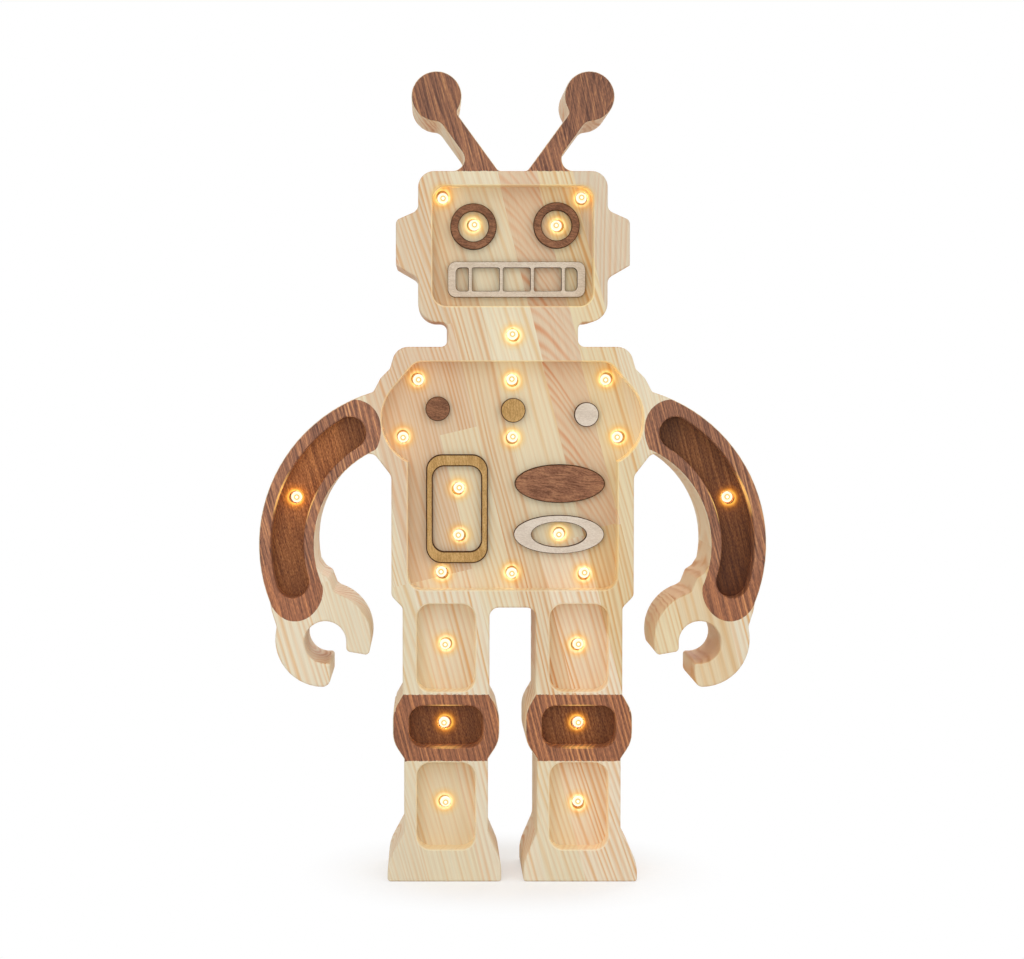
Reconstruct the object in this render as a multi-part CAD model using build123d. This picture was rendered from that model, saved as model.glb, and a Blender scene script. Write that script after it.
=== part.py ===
from build123d import *
import os
from math import atan2, cos, degrees, radians, sin, tan

# A free-standing robot night lamp: one thick pine silhouette, routed from the front for shallow
# trays with lights and plywood trims, and from the back for the wiring, which a plywood cover closes.
# Millimetres. +Z is up, the face looks along -Y, and the origin is under the middle of the feet.

# ---- overall ----
BODY_DEPTH = 48.0
FRONT = -BODY_DEPTH / 2
BACK = BODY_DEPTH / 2
PAST = 5.0               # how far a cutting tool runs past a face
GRID = 1e-4              # the fine grid that a redrawn outline's ends lie on

# ---- legs, from the table up ----
LEG_X = 31.2             # middle of a leg
FOOT_SIDE = 8.9          # height of the upright side of a foot
FOOT_OUT = 27.5          # foot's reach from the middle of the leg, away from the body
FOOT_IN = 26.0           # and towards the other foot
FOOT_CURVE = 20.0
SOLE_CORNER = 1.5
ANKLE_LEVEL = 23.5
ANKLE_CURVE = 7.0
SHIN_HALF = 19.7
SHIN_LENGTH = 34.5
KNEE_HALF = 25.0
KNEE_HEIGHT = 30.3
KNEE_SLANT = 8.0
KNEE_CURVE = 14.0
KNEE_ROOT = 0.8          # rounding where a knee meets shin or thigh
THIGH_HALF = 20.4
THIGH_LENGTH = 40.9
THIGH_ROOT = 3.0
CROTCH_CURVE = 4.4
KNEE_BOTTOM = ANKLE_LEVEL + SHIN_LENGTH
KNEE_TOP = KNEE_BOTTOM + KNEE_HEIGHT

# ---- torso and shoulders ----
TORSO_HALF = 56.85
TORSO_HEIGHT = 122.3     # from the crotch to the top of the shoulders
HIP_DROP = 5.4           # slanted hip corner, torso to thigh
HIP_CURVE = 4.0
ARMPIT_DROP = 60.5       # below the top of the shoulders
ARMPIT_CURVE = 5.0
ARMPIT_RUN = (10.5, 13.6)
SHOULDER_IN = 2.25       # the shoulder's top is this much narrower than the torso
SHOULDER_CURVE = 7.5
COLLAR_OUT = 0.65        # and its foot is this much wider
COLLAR_DROP = 10.2
COLLAR_CURVE = 1.5
SHOULDER_STEP = 4.4      # 45 degree step from the shoulder block to the upper arm
STEP_CURVE = 2.5
ARM_ROOT = (5.0, 9.5)    # from that step, out and down to a point inside the arm
TORSO_BOTTOM = KNEE_TOP + THIGH_LENGTH
SHOULDER_TOP = TORSO_BOTTOM + TORSO_HEIGHT
SHOULDER_HALF = TORSO_HALF - SHOULDER_IN
COLLAR_HALF = TORSO_HALF + COLLAR_OUT
COLLAR_LEVEL = SHOULDER_TOP - COLLAR_DROP
ARMPIT_LEVEL = SHOULDER_TOP - ARMPIT_DROP

# ---- neck and head ----
NECK_HALF = 30.5
NECK_HEIGHT = 11.5
NECK_CURVE = 3.3
HEAD_HALF = 44.3
HEAD_HEIGHT = 70.6
HEAD_CORNER = 7.5
CHIN_CURVE = 9.0
EAR_OUT = 10.4
EAR_RISE = 20.5          # from the head's bottom to where an ear's lower slant starts
EAR_HEIGHT = 31.8
EAR_SLANT_LOW = 6.0
EAR_SLANT_HIGH = 4.6
EAR_ROOT = 4.0
EAR_CORNER_LOW = 1.0
EAR_CORNER_HIGH = 2.8
HEAD_BOTTOM = SHOULDER_TOP + NECK_HEIGHT
HEAD_TOP = HEAD_BOTTOM + HEAD_HEIGHT
EAR_HALF = HEAD_HALF + EAR_OUT
EAR_ROOT_LOW = HEAD_BOTTOM + EAR_RISE
EAR_ROOT_HIGH = EAR_ROOT_LOW + EAR_HEIGHT

# ---- arms: part of a ring ----
ARM_IN = 12.45           # the ring's middle lies this far inside the torso's side
ARM_DROP = 92.7          # and this far below the top of the shoulders
ARM_INNER = 48.6
ARM_WIDTH = 26.0
ARM_SHOULDER_DEG = 76.0
ARM_WRIST_DEG = -21.5
SHOULDER_EASE = 2.0      # rounding where the arm meets the shoulder, outside and inside
ARMPIT_EASE = 4.0
ARM_X = TORSO_HALF - ARM_IN
ARM_Z = SHOULDER_TOP - ARM_DROP
ARM_OUTER = ARM_INNER + ARM_WIDTH
ARM_MID = ARM_INNER + ARM_WIDTH / 2

# ---- hands: an open claw ----
HAND_IN = 12.8           # from the end of the arm's middle line to the middle of the hand
HAND_DROP = 21.9
HAND_R = 22.5
GRIP_IN = 0.95
GRIP_DROP = 1.4
GRIP_R = 9.9
LOWER_TIP_IN = 3.4       # the outer finger ends on an upright line
LOWER_TIP_CURVE = 4.0
LOWER_TIP_CORNER = 1.5
UPPER_TIP_DROP = 4.3     # the inner finger ends this far below the middle of the grip
UPPER_TIP_SLANT = 4.0
UPPER_TIP_CORNER = 2.0
CUFF = (                 # corners of the cuff from the middle of the hand, each with its rounding
    (0.8, 31.1, 1.5), (-2.6, 28.8, 2.0), (-4.9, 22.8, 1.5), (-9.0, 19.9, 0.0),
    (0.0, 0.0, 0.0), (21.6, 5.2, 0.0), (24.1, 13.0, 6.0),
)
CUFF_CURVE = 4.0
HAND_X = ARM_X + ARM_MID * cos(radians(ARM_WRIST_DEG)) - HAND_IN
HAND_Z = ARM_Z + ARM_MID * sin(radians(ARM_WRIST_DEG)) - HAND_DROP
GRIP_X = HAND_X - GRIP_IN
GRIP_Z = HAND_Z - GRIP_DROP
LOWER_TIP_X = HAND_X - LOWER_TIP_IN

# ---- antennae ----
STALK_WIDTH = 8.66
STALK_ROOT_X = 12.1
STALK_ROOT_INNER = 2.5
STALK_ROOT_OUTER = 5.5
BALL_X = 35.7
BALL_RISE = 34.7         # middle of the ball above the head
BALL_R = 11.7
BALL_ROOT_INNER = 3.0
BALL_ROOT_OUTER = 5.0
STALK_PAST_BALL = 1.7    # the stalk's middle line passes outside the middle of the ball
BALL_Z = HEAD_TOP + BALL_RISE
STALK_TOP_X = BALL_X + STALK_PAST_BALL

# ---- front trays ----
TRAY_DEPTH = 10.0
FLOOR = FRONT + TRAY_DEPTH
TRAY_CORNER = 6.6
HEAD_WALL = 6.7          # wood left beside the head's tray, below it and above it
HEAD_WALL_LOW = 7.6
HEAD_WALL_HIGH = 6.8
CHEST_WALL = 7.75
CHEST_WALL_LOW = 8.3
CHEST_WALL_HIGH = 6.9
LOBE_IN = 17.75          # the round sides of the chest tray
LOBE_DROP = 26.9
LOBE_R = 22.4
ARM_WALL_INNER = 5.1
ARM_WALL_OUTER = 5.6
ARM_TRAY_HIGH_DEG = 58.6
ARM_TRAY_LOW_DEG = -16.5
THIGH_WALL = 6.65
THIGH_TRAY_HEIGHT = 41.2
THIGH_TRAY_DROP = 18.9   # middle of the tray below the crotch
KNEE_WALL = 7.65
KNEE_WALL_END = 5.35
SHIN_WALL = 5.95
SHIN_TRAY_HEIGHT = 41.0
SHIN_TRAY_DROP = 22.3    # middle of the tray below the knee
HEAD_TRAY_HALF = HEAD_HALF - HEAD_WALL
HEAD_TRAY_LOW = HEAD_BOTTOM + HEAD_WALL_LOW
HEAD_TRAY_HIGH = HEAD_TOP - HEAD_WALL_HIGH
CHEST_TRAY_HALF = TORSO_HALF - CHEST_WALL
CHEST_TRAY_LOW = TORSO_BOTTOM + CHEST_WALL_LOW
CHEST_TRAY_HIGH = SHOULDER_TOP - CHEST_WALL_HIGH
LOBE_X = TORSO_HALF - LOBE_IN
LOBE_Z = CHEST_TRAY_HIGH - LOBE_DROP
ARM_TRAY_INNER = ARM_INNER + ARM_WALL_INNER
ARM_TRAY_OUTER = ARM_OUTER - ARM_WALL_OUTER
THIGH_TRAY = (2 * (THIGH_HALF - THIGH_WALL), THIGH_TRAY_HEIGHT)
THIGH_TRAY_Z = TORSO_BOTTOM - THIGH_TRAY_DROP
KNEE_TRAY = (2 * (KNEE_HALF - KNEE_WALL), KNEE_HEIGHT - 2 * KNEE_WALL_END)
KNEE_TRAY_Z = (KNEE_TOP + KNEE_BOTTOM) / 2
SHIN_TRAY = (2 * (SHIN_HALF - SHIN_WALL), SHIN_TRAY_HEIGHT)
SHIN_TRAY_Z = KNEE_BOTTOM - SHIN_TRAY_DROP

# ---- lights: 5 mm lamps pushed in from behind ----
WEB = 7.0                # wood left between a tray and the wiring space
LED_R = 2.5
LED_LENGTH = 7.6         # from the flange to the tip of the dome
LED_FLANGE_R = 2.9
LED_FLANGE = 1.0
LED_GAP = 0.1
LED_SINK_R = 3.1         # countersunk mouth of each light's hole
LED_SINK = 1.0
LEAD = 0.5
LEAD_PITCH = 1.27
NECK_WELL_R = 9.0        # the neck light sits in the front face, so its space behind is deeper

# ---- back: rebate, cover and wiring space ----
RIM = 3.4                # wood left round the cover
LEDGE = 5.0              # width that the cover rests on
COVER = 3.0
COVER_SETBACK = 4.0
COVER_GAP = 0.25
COVER_OUTER_Y = BACK - COVER_SETBACK
COVER_INNER_Y = COVER_OUTER_Y - COVER
CAVITY_Y = FLOOR + WEB
ARM_COVER_LOW_DEG = -4.0
ARM_COVER_CORNER = 7.0
ARM_SCREW_DEG = 4.0
BOSS_R = 5.5
SCREW_R = 1.25
SCREW_LENGTH = 14.0
SCREW_HEAD_R = 2.6
SCREW_HEAD = 1.5
SCREW_SLOT = (3.0, 1.4, 0.7)
SCREW_IN = 9.0           # from the outline to the middle of a screw
SCREW_LOBE = (0.5, 5.0)  # the shoulder's screw, from the torso's side and the lobe's middle

# ---- driver board and wiring ----
BOARD = (26.0, 36.0, 1.6)
BOARD_CORNER_IN = 3.0
SPACER = 3.0
SPACER_R = 2.6
BOARD_SCREW_R = 1.0
BOARD_SCREW_HEAD_R = 1.9
BOARD_SCREW_HEAD = 1.3
BOARD_SCREW_BITE = 4.5
RIBBON_WIDTH = 2.6
RIBBON = 1.0
RIBBON_GAP = 1.1         # between the board's screws and the wires that pass behind them
SUPPLY_R = 0.8
SUPPLY_GAP = 0.4
FEED_X = 1.6              # the board's feed to the switch
RETURN_X = 3.0            # and the way back: up, aslant, past the can and in to the tab
RETURN_RISE = 8.0
RETURN_SLANT = 6.0
RETURN_OUT = 8.5
RETURN_DROP = 5.0
RETURN_TAB_X = 1.0
RETURN_BEND = 4.0
BOARD_Y = CAVITY_Y + SPACER
BOARD_TOP = BOARD_Y + BOARD[2]
RIBBON_Y = BOARD_TOP + BOARD_SCREW_HEAD + RIBBON_GAP
SUPPLY_Y = RIBBON_Y + RIBBON + SUPPLY_GAP + SUPPLY_R
TERMINAL = (10.0, 6.0)
TERMINAL_IN = 5.0
REGULATOR = (5.0, 1.8, 6.0)
REGULATOR_AT = (-4.5, 3.0)
RESISTOR = (3.2, 0.7, 1.6)
RESISTOR_AT = (5.0, 5.0)
RESISTOR_PITCH = 3.4
CAPACITOR = (2.4, 2.2)
CAPACITOR_AT = (-4.5, -4.5)

# ---- power inlet ----
INLET_RISE = 22.8        # above the torso's bottom
INLET_R = 5.5
INLET_FLANGE_R = 7.0
INLET_FLANGE = 2.0
INLET_LENGTH = 11.0
INLET_GAP = 0.1
SOCKET_R = 3.15
SOCKET_DEPTH = 9.5
SOCKET_PIN_R = 1.05
LUG = (0.6, 2.2)
LUG_X = 2.6
NUT_ACROSS = 14.0
NUT = 2.5
INLET_Z = TORSO_BOTTOM + INLET_RISE
BOARD_RISE = 28.0        # middle of the board above the inlet
BOARD_Z = INLET_Z + BOARD_RISE
TERMINAL_LOW_Z = BOARD_Z - BOARD[1] / 2 + TERMINAL_IN
TERMINAL_HIGH_Z = BOARD_Z + BOARD[1] / 2 - TERMINAL_IN

# ---- rocker switch ----
SWITCH_DROP = 25.5       # below the top of the shoulders
BEZEL = (15.0, 21.0, 1.8)
BEZEL_CORNER = 1.5
CAN = (12.8, 19.0, 11.0)
CAN_CORNER = 0.8
CAN_GAP = 0.15
WELL = (10.8, 16.8, 9.0)
WELL_CORNER = 0.6
ROCKER_HALF = 7.6
ROCKER_SIDE_GAP = 0.25
ROCKER_END = 2.4
ROCKER_MIDDLE = 1.0
ROCKER_SHOULDER = 1.0
ROCKER_KEEL = (4.6, 3.6)
ROCKER_TILT = 8.0
PIVOT_R = 1.2
PIVOT_GAP = 0.06
PIVOT_IN = 0.8
PIVOT_DEPTH = 0.2        # below the outer face of the cover
TAB = (4.8, 0.8)
SWITCH_Z = SHOULDER_TOP - SWITCH_DROP
PIVOT_Y = COVER_OUTER_Y - PIVOT_DEPTH

# ---- trims glued to the tray floors ----
TRIM = 3.0
TRIM_Y = FLOOR - TRIM
EYE_DROP = 18.3          # middle of the eyes below the top of their tray
EYE_OUTER = 10.9
EYE_INNER = 7.1
EYE_Z = HEAD_TRAY_HIGH - EYE_DROP
EYES = {"eye_ring_left": (-18.3, EYE_Z - 0.3), "eye_ring_right": (20.8, EYE_Z + 0.2)}
MOUTH_X = 2.0
MOUTH_RISE = 12.7        # middle of the mouth above the bottom of the tray
MOUTH_SPARE = 10.5       # tray left free beside the mouth, both sides together
MOUTH_HEIGHT = 16.7
MOUTH_CORNER = 3.7
MOUTH_END = 3.8          # wood at each end of the row of windows
MOUTH_WINDOW = 11.0
MOUTH_WINDOW_CORNER = 0.8
MOUTH_BAND_CORNER = 2.3
MOUTH_FIRST = 5.9
MOUTH_LAST = 5.7
MOUTH_RIB = 1.75
MOUTH = (2 * HEAD_TRAY_HALF - MOUTH_SPARE, MOUTH_HEIGHT)
MOUTH_Z = HEAD_TRAY_LOW + MOUTH_RISE
BUTTON_R = 5.8
BUTTON_IN = 4.0
BUTTONS = {
    "chest_button_left": (BUTTON_IN - LOBE_X, LOBE_Z + 4.7),
    "chest_button_middle": (0.5, LOBE_Z + 4.0),
    "chest_button_right": (LOBE_X - BUTTON_IN, LOBE_Z + 2.0),
}
PANEL_X = -26.0
PANEL_RISE = 37.7        # above the bottom of the tray
PANEL_Z = CHEST_TRAY_LOW + PANEL_RISE
PANEL = (29.2, 51.4)
PANEL_SIDE = 3.2
PANEL_END = 5.6
PANEL_CORNER = 7.5
PANEL_HOLE_CORNER = 5.5
OVAL = (21.3, 9.1)
OVAL_X = 22.3
OVAL_RISE = 49.6
OVAL_RING_RISE = 25.6
OVAL_AT = (OVAL_X + 0.2, CHEST_TRAY_LOW + OVAL_RISE)
OVAL_RING_AT = (OVAL_X - 0.2, CHEST_TRAY_LOW + OVAL_RING_RISE)
OVAL_HOLE = (13.0, 5.9)


def polar(x, z, radius, angle):
    """The point at a radius and an angle in degrees round (x, z)."""
    return (x + radius * cos(radians(angle)), z + radius * sin(radians(angle)))


def arm_point(radius, angle):
    """A point of the right arm, by its radius and angle round the arm's curve."""
    return polar(ARM_X, ARM_Z, radius, angle)


# ---- where each light looks out ----
HEAD_LIGHT_IN = (4.9, 5.0)
COLLAR_LIGHT = (5.25, 8.4)
CHEST_LIGHT_LEFT = 12.4
CHEST_LIGHT_RIGHT = 10.9
CHEST_LIGHT_DROP = 8.7
PANEL_LIGHT_UP = 9.7
PANEL_LIGHT_DOWN = 12.6
WAIST_LIGHT_OUT = 2.6
WAIST_LIGHT_RISE = 7.2
ARM_LIGHT_DEG = 20.73
HEAD_LIGHT = (HEAD_TRAY_HALF - HEAD_LIGHT_IN[0], HEAD_TRAY_HIGH - HEAD_LIGHT_IN[1])
COLLAR_LIGHT_X = LOBE_X + COLLAR_LIGHT[0]
COLLAR_LIGHT_Z = CHEST_TRAY_HIGH - COLLAR_LIGHT[1]
CHEST_LIGHT_Z = LOBE_Z - CHEST_LIGHT_DROP
WAIST_LIGHT_X = LEG_X + WAIST_LIGHT_OUT
WAIST_LIGHT_Z = CHEST_TRAY_LOW + WAIST_LIGHT_RISE
ARM_LIGHT = arm_point(ARM_MID, ARM_LIGHT_DEG)
LIGHTS = {
    "led_head_left": (-HEAD_LIGHT[0], HEAD_LIGHT[1]),
    "led_head_right": HEAD_LIGHT,
    "led_eye_left": (EYES["eye_ring_left"][0] + 0.3, EYE_Z + 0.6),
    "led_eye_right": (EYES["eye_ring_right"][0] + 0.2, EYE_Z + 0.3),
    "led_neck": (0.0, (SHOULDER_TOP + HEAD_BOTTOM) / 2),
    "led_collar_left": (-COLLAR_LIGHT_X, COLLAR_LIGHT_Z),
    "led_collar_middle": (0.0, COLLAR_LIGHT_Z),
    "led_collar_right": (COLLAR_LIGHT_X, COLLAR_LIGHT_Z),
    "led_chest_left": (-LOBE_X - CHEST_LIGHT_LEFT, CHEST_LIGHT_Z),
    "led_chest_middle": (0.3, CHEST_LIGHT_Z),
    "led_chest_right": (LOBE_X + CHEST_LIGHT_RIGHT, CHEST_LIGHT_Z),
    "led_panel_high": (PANEL_X + 0.9, PANEL_Z + PANEL_LIGHT_UP),
    "led_panel_low": (PANEL_X + 0.9, PANEL_Z - PANEL_LIGHT_DOWN),
    "led_oval": (OVAL_X, OVAL_RING_AT[1]),
    "led_waist_left": (0.5 - WAIST_LIGHT_X, WAIST_LIGHT_Z + 0.4),
    "led_waist_middle": (0.0, WAIST_LIGHT_Z - 0.1),
    "led_waist_right": (WAIST_LIGHT_X + 0.5, WAIST_LIGHT_Z - 0.1),
    "led_arm_left": (-ARM_LIGHT[0], ARM_LIGHT[1]),
    "led_arm_right": ARM_LIGHT,
    "led_thigh_left": (-LEG_X - 0.2, THIGH_TRAY_Z + 0.5),
    "led_thigh_right": (LEG_X + 0.2, THIGH_TRAY_Z + 0.5),
    "led_knee_left": (-LEG_X - 0.7, KNEE_TRAY_Z + 0.45),
    "led_knee_right": (LEG_X + 0.2, KNEE_TRAY_Z + 0.45),
    "led_shin_left": (-LEG_X - 0.3, SHIN_TRAY_Z + 0.1),
    "led_shin_right": (LEG_X + 0.3, SHIN_TRAY_Z + 0.1),
}


def area(*corners):
    """A flat shape from (x, z, rounding) corners in order."""
    points = [(x, z) for x, z, _ in corners]
    return make_face(FilletPolyline(*points, radius=[r for _, _, r in corners], close=True))


def disc(x, z, radius):
    return Pos(x, z) * Circle(radius)


def panel(x, z, size, corner):
    return Pos(x, z) * RectangleRounded(size[0], size[1], corner)


def slab(shape, y_front, y_back):
    """A flat shape drawn in X and Z, filled from one Y to the other."""
    return extrude(Plane.XZ.offset(-y_back) * shape, amount=y_back - y_front)


def pair(shape):
    """A shape of the right half, with its mirror image."""
    return shape + mirror(shape, about=Plane.YZ)


def peg(x, z, radius, y_front, y_back):
    """A round pin or hole along Y."""
    return slab(disc(x, z, radius), y_front, y_back)


def redrawn(shape):
    """The same outline with its ends on a fine grid, so that neighbouring edges meet exactly."""
    edges = []
    for edge in shape.face().outer_wire().edges():
        start, middle, end = (
            (round(point.X / GRID) * GRID, round(point.Y / GRID) * GRID)
            for point in (edge @ 0, edge @ 0.5, edge @ 1)
        )
        if start == end:
            continue
        straight = edge.geom_type == GeomType.LINE
        edges.append(Line(start, end) if straight else ThreePointArc(start, middle, end))
    return make_face(edges)


def ease(shape, x, z, radius):
    """The shape with its corner nearest to a point rounded."""
    corner = min(shape.vertices(), key=lambda v: (v.X - x) ** 2 + (v.Y - z) ** 2)
    return fillet(corner, radius)


# ---------------------------------------------------------------- pine silhouette

def trunk_half():
    """Head, neck, torso and leg, right of the middle."""
    out, inner = LEG_X + THIGH_HALF, LEG_X - THIGH_HALF
    shoulder_x = COLLAR_HALF + SHOULDER_STEP
    shoulder_z = COLLAR_LEVEL - SHOULDER_STEP
    into_arm = arm_point(ARM_MID, ARM_SHOULDER_DEG - 10)
    return area(
        (0, HEAD_TOP, 0),
        (HEAD_HALF, HEAD_TOP, HEAD_CORNER),
        (HEAD_HALF, EAR_ROOT_HIGH, EAR_ROOT),
        (EAR_HALF, EAR_ROOT_HIGH - EAR_SLANT_HIGH, EAR_CORNER_HIGH),
        (EAR_HALF, EAR_ROOT_LOW + EAR_SLANT_LOW, EAR_CORNER_LOW),
        (HEAD_HALF, EAR_ROOT_LOW, EAR_ROOT),
        (HEAD_HALF, HEAD_BOTTOM, CHIN_CURVE),
        (NECK_HALF, HEAD_BOTTOM, NECK_CURVE),
        (NECK_HALF, SHOULDER_TOP, NECK_CURVE),
        (SHOULDER_HALF, SHOULDER_TOP, SHOULDER_CURVE),
        (COLLAR_HALF, COLLAR_LEVEL, COLLAR_CURVE),
        (shoulder_x, shoulder_z, STEP_CURVE),
        (shoulder_x + ARM_ROOT[0], shoulder_z - ARM_ROOT[1], 0),
        (*into_arm, 0),
        (TORSO_HALF + ARMPIT_RUN[0], ARMPIT_LEVEL + ARMPIT_RUN[1], 0),
        (TORSO_HALF, ARMPIT_LEVEL, ARMPIT_CURVE),
        (TORSO_HALF, TORSO_BOTTOM + HIP_DROP, HIP_CURVE),
        (out, TORSO_BOTTOM, THIGH_ROOT),
        (out, KNEE_TOP, KNEE_ROOT),
        (LEG_X + KNEE_HALF, KNEE_TOP - KNEE_SLANT, KNEE_CURVE),
        (LEG_X + KNEE_HALF, KNEE_BOTTOM + KNEE_SLANT, KNEE_CURVE),
        (LEG_X + SHIN_HALF, KNEE_BOTTOM, KNEE_ROOT),
        (LEG_X + SHIN_HALF, ANKLE_LEVEL, ANKLE_CURVE),
        (LEG_X + FOOT_OUT, FOOT_SIDE, FOOT_CURVE),
        (LEG_X + FOOT_OUT, 0, SOLE_CORNER),
        (LEG_X - FOOT_IN, 0, SOLE_CORNER),
        (LEG_X - FOOT_IN, FOOT_SIDE, FOOT_CURVE),
        (LEG_X - SHIN_HALF, ANKLE_LEVEL, ANKLE_CURVE),
        (LEG_X - SHIN_HALF, KNEE_BOTTOM, KNEE_ROOT),
        (LEG_X - KNEE_HALF, KNEE_BOTTOM + KNEE_SLANT, KNEE_CURVE),
        (LEG_X - KNEE_HALF, KNEE_TOP - KNEE_SLANT, KNEE_CURVE),
        (inner, KNEE_TOP, KNEE_ROOT),
        (inner, TORSO_BOTTOM, CROTCH_CURVE),
        (0, TORSO_BOTTOM, 0),
    )


def arm_sector(inner, outer, low, high):
    """Part of the arm's ring between two angles."""
    middle = (low + high) / 2
    reach = 2 * outer
    wedge = area(
        (ARM_X, ARM_Z, 0),
        (*arm_point(reach, low), 0),
        (*arm_point(reach, middle), 0),
        (*arm_point(reach, high), 0),
    )
    return (disc(ARM_X, ARM_Z, outer) - disc(ARM_X, ARM_Z, inner)) & wedge


def wrist():
    """The cuff from the end of the arm's curve to the claw."""
    return area(
        (*arm_point(ARM_OUTER, ARM_WRIST_DEG), 0),
        (*arm_point(ARM_MID, ARM_WRIST_DEG + 15), 0),
        (*arm_point(ARM_INNER, ARM_WRIST_DEG + 10), 0),
        *((HAND_X + x, HAND_Z + z, rounding) for x, z, rounding in CUFF),
    )


def claw_mouth():
    """What is cut away between the tips of the two fingers."""
    left = GRIP_X - GRIP_R
    tip = GRIP_Z - UPPER_TIP_DROP
    beyond = 1.5 * HAND_R
    return area(
        (left, GRIP_Z, 0),
        (left, tip, UPPER_TIP_CORNER),
        (HAND_X - beyond, tip - UPPER_TIP_SLANT, 0),
        (HAND_X - beyond, HAND_Z - beyond, 0),
        (LOWER_TIP_X, HAND_Z - beyond, 0),
        (LOWER_TIP_X, GRIP_Z, 0),
    )


def stalk_lean():
    """How far an antenna leans from upright, in radians."""
    return atan2(STALK_TOP_X - STALK_ROOT_X, BALL_RISE)


def antenna():
    """A leaning stalk with a round end, right of the middle."""
    lean = stalk_lean()
    side_x = STALK_WIDTH / 2 * cos(lean)
    side_z = STALK_WIDTH / 2 * sin(lean)
    sunk = STALK_WIDTH
    foot_x = STALK_ROOT_X - sunk * tan(lean)
    foot_z = HEAD_TOP - sunk
    stalk = area(
        (foot_x - side_x, foot_z + side_z, 0),
        (STALK_TOP_X - side_x, BALL_Z + side_z, 0),
        (STALK_TOP_X + side_x, BALL_Z - side_z, 0),
        (foot_x + side_x, foot_z - side_z, 0),
    )
    return stalk + disc(BALL_X, BALL_Z, BALL_R)


def outline_half():
    """The right half of the lamp's outline, seen from the front."""
    arm = arm_sector(ARM_INNER, ARM_OUTER, ARM_WRIST_DEG, ARM_SHOULDER_DEG)
    half = trunk_half() + arm + wrist() + disc(HAND_X, HAND_Z, HAND_R) + antenna()
    half = half - disc(GRIP_X, GRIP_Z, GRIP_R) - claw_mouth()
    stalk_half = STALK_WIDTH / 2 / cos(stalk_lean())
    half = ease(half, STALK_ROOT_X - stalk_half, HEAD_TOP, STALK_ROOT_INNER)
    half = ease(half, STALK_ROOT_X + stalk_half, HEAD_TOP, STALK_ROOT_OUTER)
    half = ease(half, *polar(BALL_X, BALL_Z, BALL_R, 219), BALL_ROOT_INNER)
    half = ease(half, *polar(BALL_X, BALL_Z, BALL_R, 263), BALL_ROOT_OUTER)
    half = ease(half, *arm_point(ARM_OUTER, ARM_SHOULDER_DEG - 2.3), SHOULDER_EASE)
    half = ease(half, *arm_point(ARM_INNER, 64), ARMPIT_EASE)
    half = ease(half, *polar(HAND_X, HAND_Z, HAND_R, 15), CUFF_CURVE)
    half = ease(half, LOWER_TIP_X, HAND_Z - HAND_R, LOWER_TIP_CURVE)
    half = ease(half, LOWER_TIP_X, GRIP_Z - GRIP_R, LOWER_TIP_CORNER)
    return ease(half, *polar(HAND_X, HAND_Z, HAND_R, 202), UPPER_TIP_CORNER)


# ---------------------------------------------------------------- pine body

def arm_tray():
    """The long curved tray of an arm, round at both ends."""
    middle = (ARM_TRAY_INNER + ARM_TRAY_OUTER) / 2
    end = (ARM_TRAY_OUTER - ARM_TRAY_INNER) / 2
    tray = arm_sector(ARM_TRAY_INNER, ARM_TRAY_OUTER, ARM_TRAY_LOW_DEG, ARM_TRAY_HIGH_DEG)
    for angle in (ARM_TRAY_LOW_DEG, ARM_TRAY_HIGH_DEG):
        tray += disc(*arm_point(middle, angle), end)
    return tray


def trays():
    """Every tray in the front, as one flat shape."""
    head = panel(0, (HEAD_TRAY_LOW + HEAD_TRAY_HIGH) / 2,
                 (2 * HEAD_TRAY_HALF, HEAD_TRAY_HIGH - HEAD_TRAY_LOW), TRAY_CORNER)
    chest = panel(0, (CHEST_TRAY_LOW + CHEST_TRAY_HIGH) / 2,
                  (2 * CHEST_TRAY_HALF, CHEST_TRAY_HIGH - CHEST_TRAY_LOW), TRAY_CORNER)
    lobe = disc(LOBE_X, LOBE_Z, LOBE_R)
    corner = disc(CHEST_TRAY_HALF - TRAY_CORNER, CHEST_TRAY_HIGH - TRAY_CORNER, TRAY_CORNER)
    right = make_hull(lobe.edges() + corner.edges()) + arm_tray()
    right += panel(LEG_X, THIGH_TRAY_Z, THIGH_TRAY, TRAY_CORNER)
    right += panel(LEG_X, KNEE_TRAY_Z, KNEE_TRAY, TRAY_CORNER)
    right += panel(LEG_X, SHIN_TRAY_Z, SHIN_TRAY, TRAY_CORNER)
    return head + chest + pair(right)


def covered():
    """The outline that the back cover follows: all but hands, lower arms and antennae."""
    half = trunk_half() + arm_sector(ARM_INNER, ARM_OUTER, ARM_COVER_LOW_DEG, ARM_SHOULDER_DEG)
    for radius in (ARM_INNER, ARM_OUTER):
        half = ease(half, *arm_point(radius, ARM_COVER_LOW_DEG), ARM_COVER_CORNER)
    return pair(half)


def shrunk(shape, amount):
    """A flat outline moved inwards by an amount."""
    return redrawn(offset(shape, amount=-amount, kind=Kind.ARC))


def screw_places():
    """Middles of the cover's screws."""
    right = [
        (EAR_HALF - SCREW_IN, (EAR_ROOT_LOW + EAR_ROOT_HIGH) / 2),
        (TORSO_HALF + SCREW_LOBE[0], LOBE_Z + SCREW_LOBE[1]),
        arm_point(ARM_MID, ARM_SCREW_DEG),
        (TORSO_HALF - SCREW_IN, (TORSO_BOTTOM + ARMPIT_LEVEL) / 2),
        (LEG_X + KNEE_HALF - SCREW_IN, (KNEE_TOP + KNEE_BOTTOM) / 2),
        (LEG_X, SCREW_IN),
    ]
    left = [(-x, z) for x, z in right]
    return right + left + [(0, HEAD_TOP - SCREW_IN)]


def wiring_space():
    """The hollow behind the trays, with wood left round every cover screw."""
    space = shrunk(covered(), RIM + LEDGE)
    for place in screw_places():
        space -= disc(*place, BOSS_R)
    return space


def light_floor(name):
    """The Y of the face that a light looks out of."""
    return FRONT if name == "led_neck" else FLOOR


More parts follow.
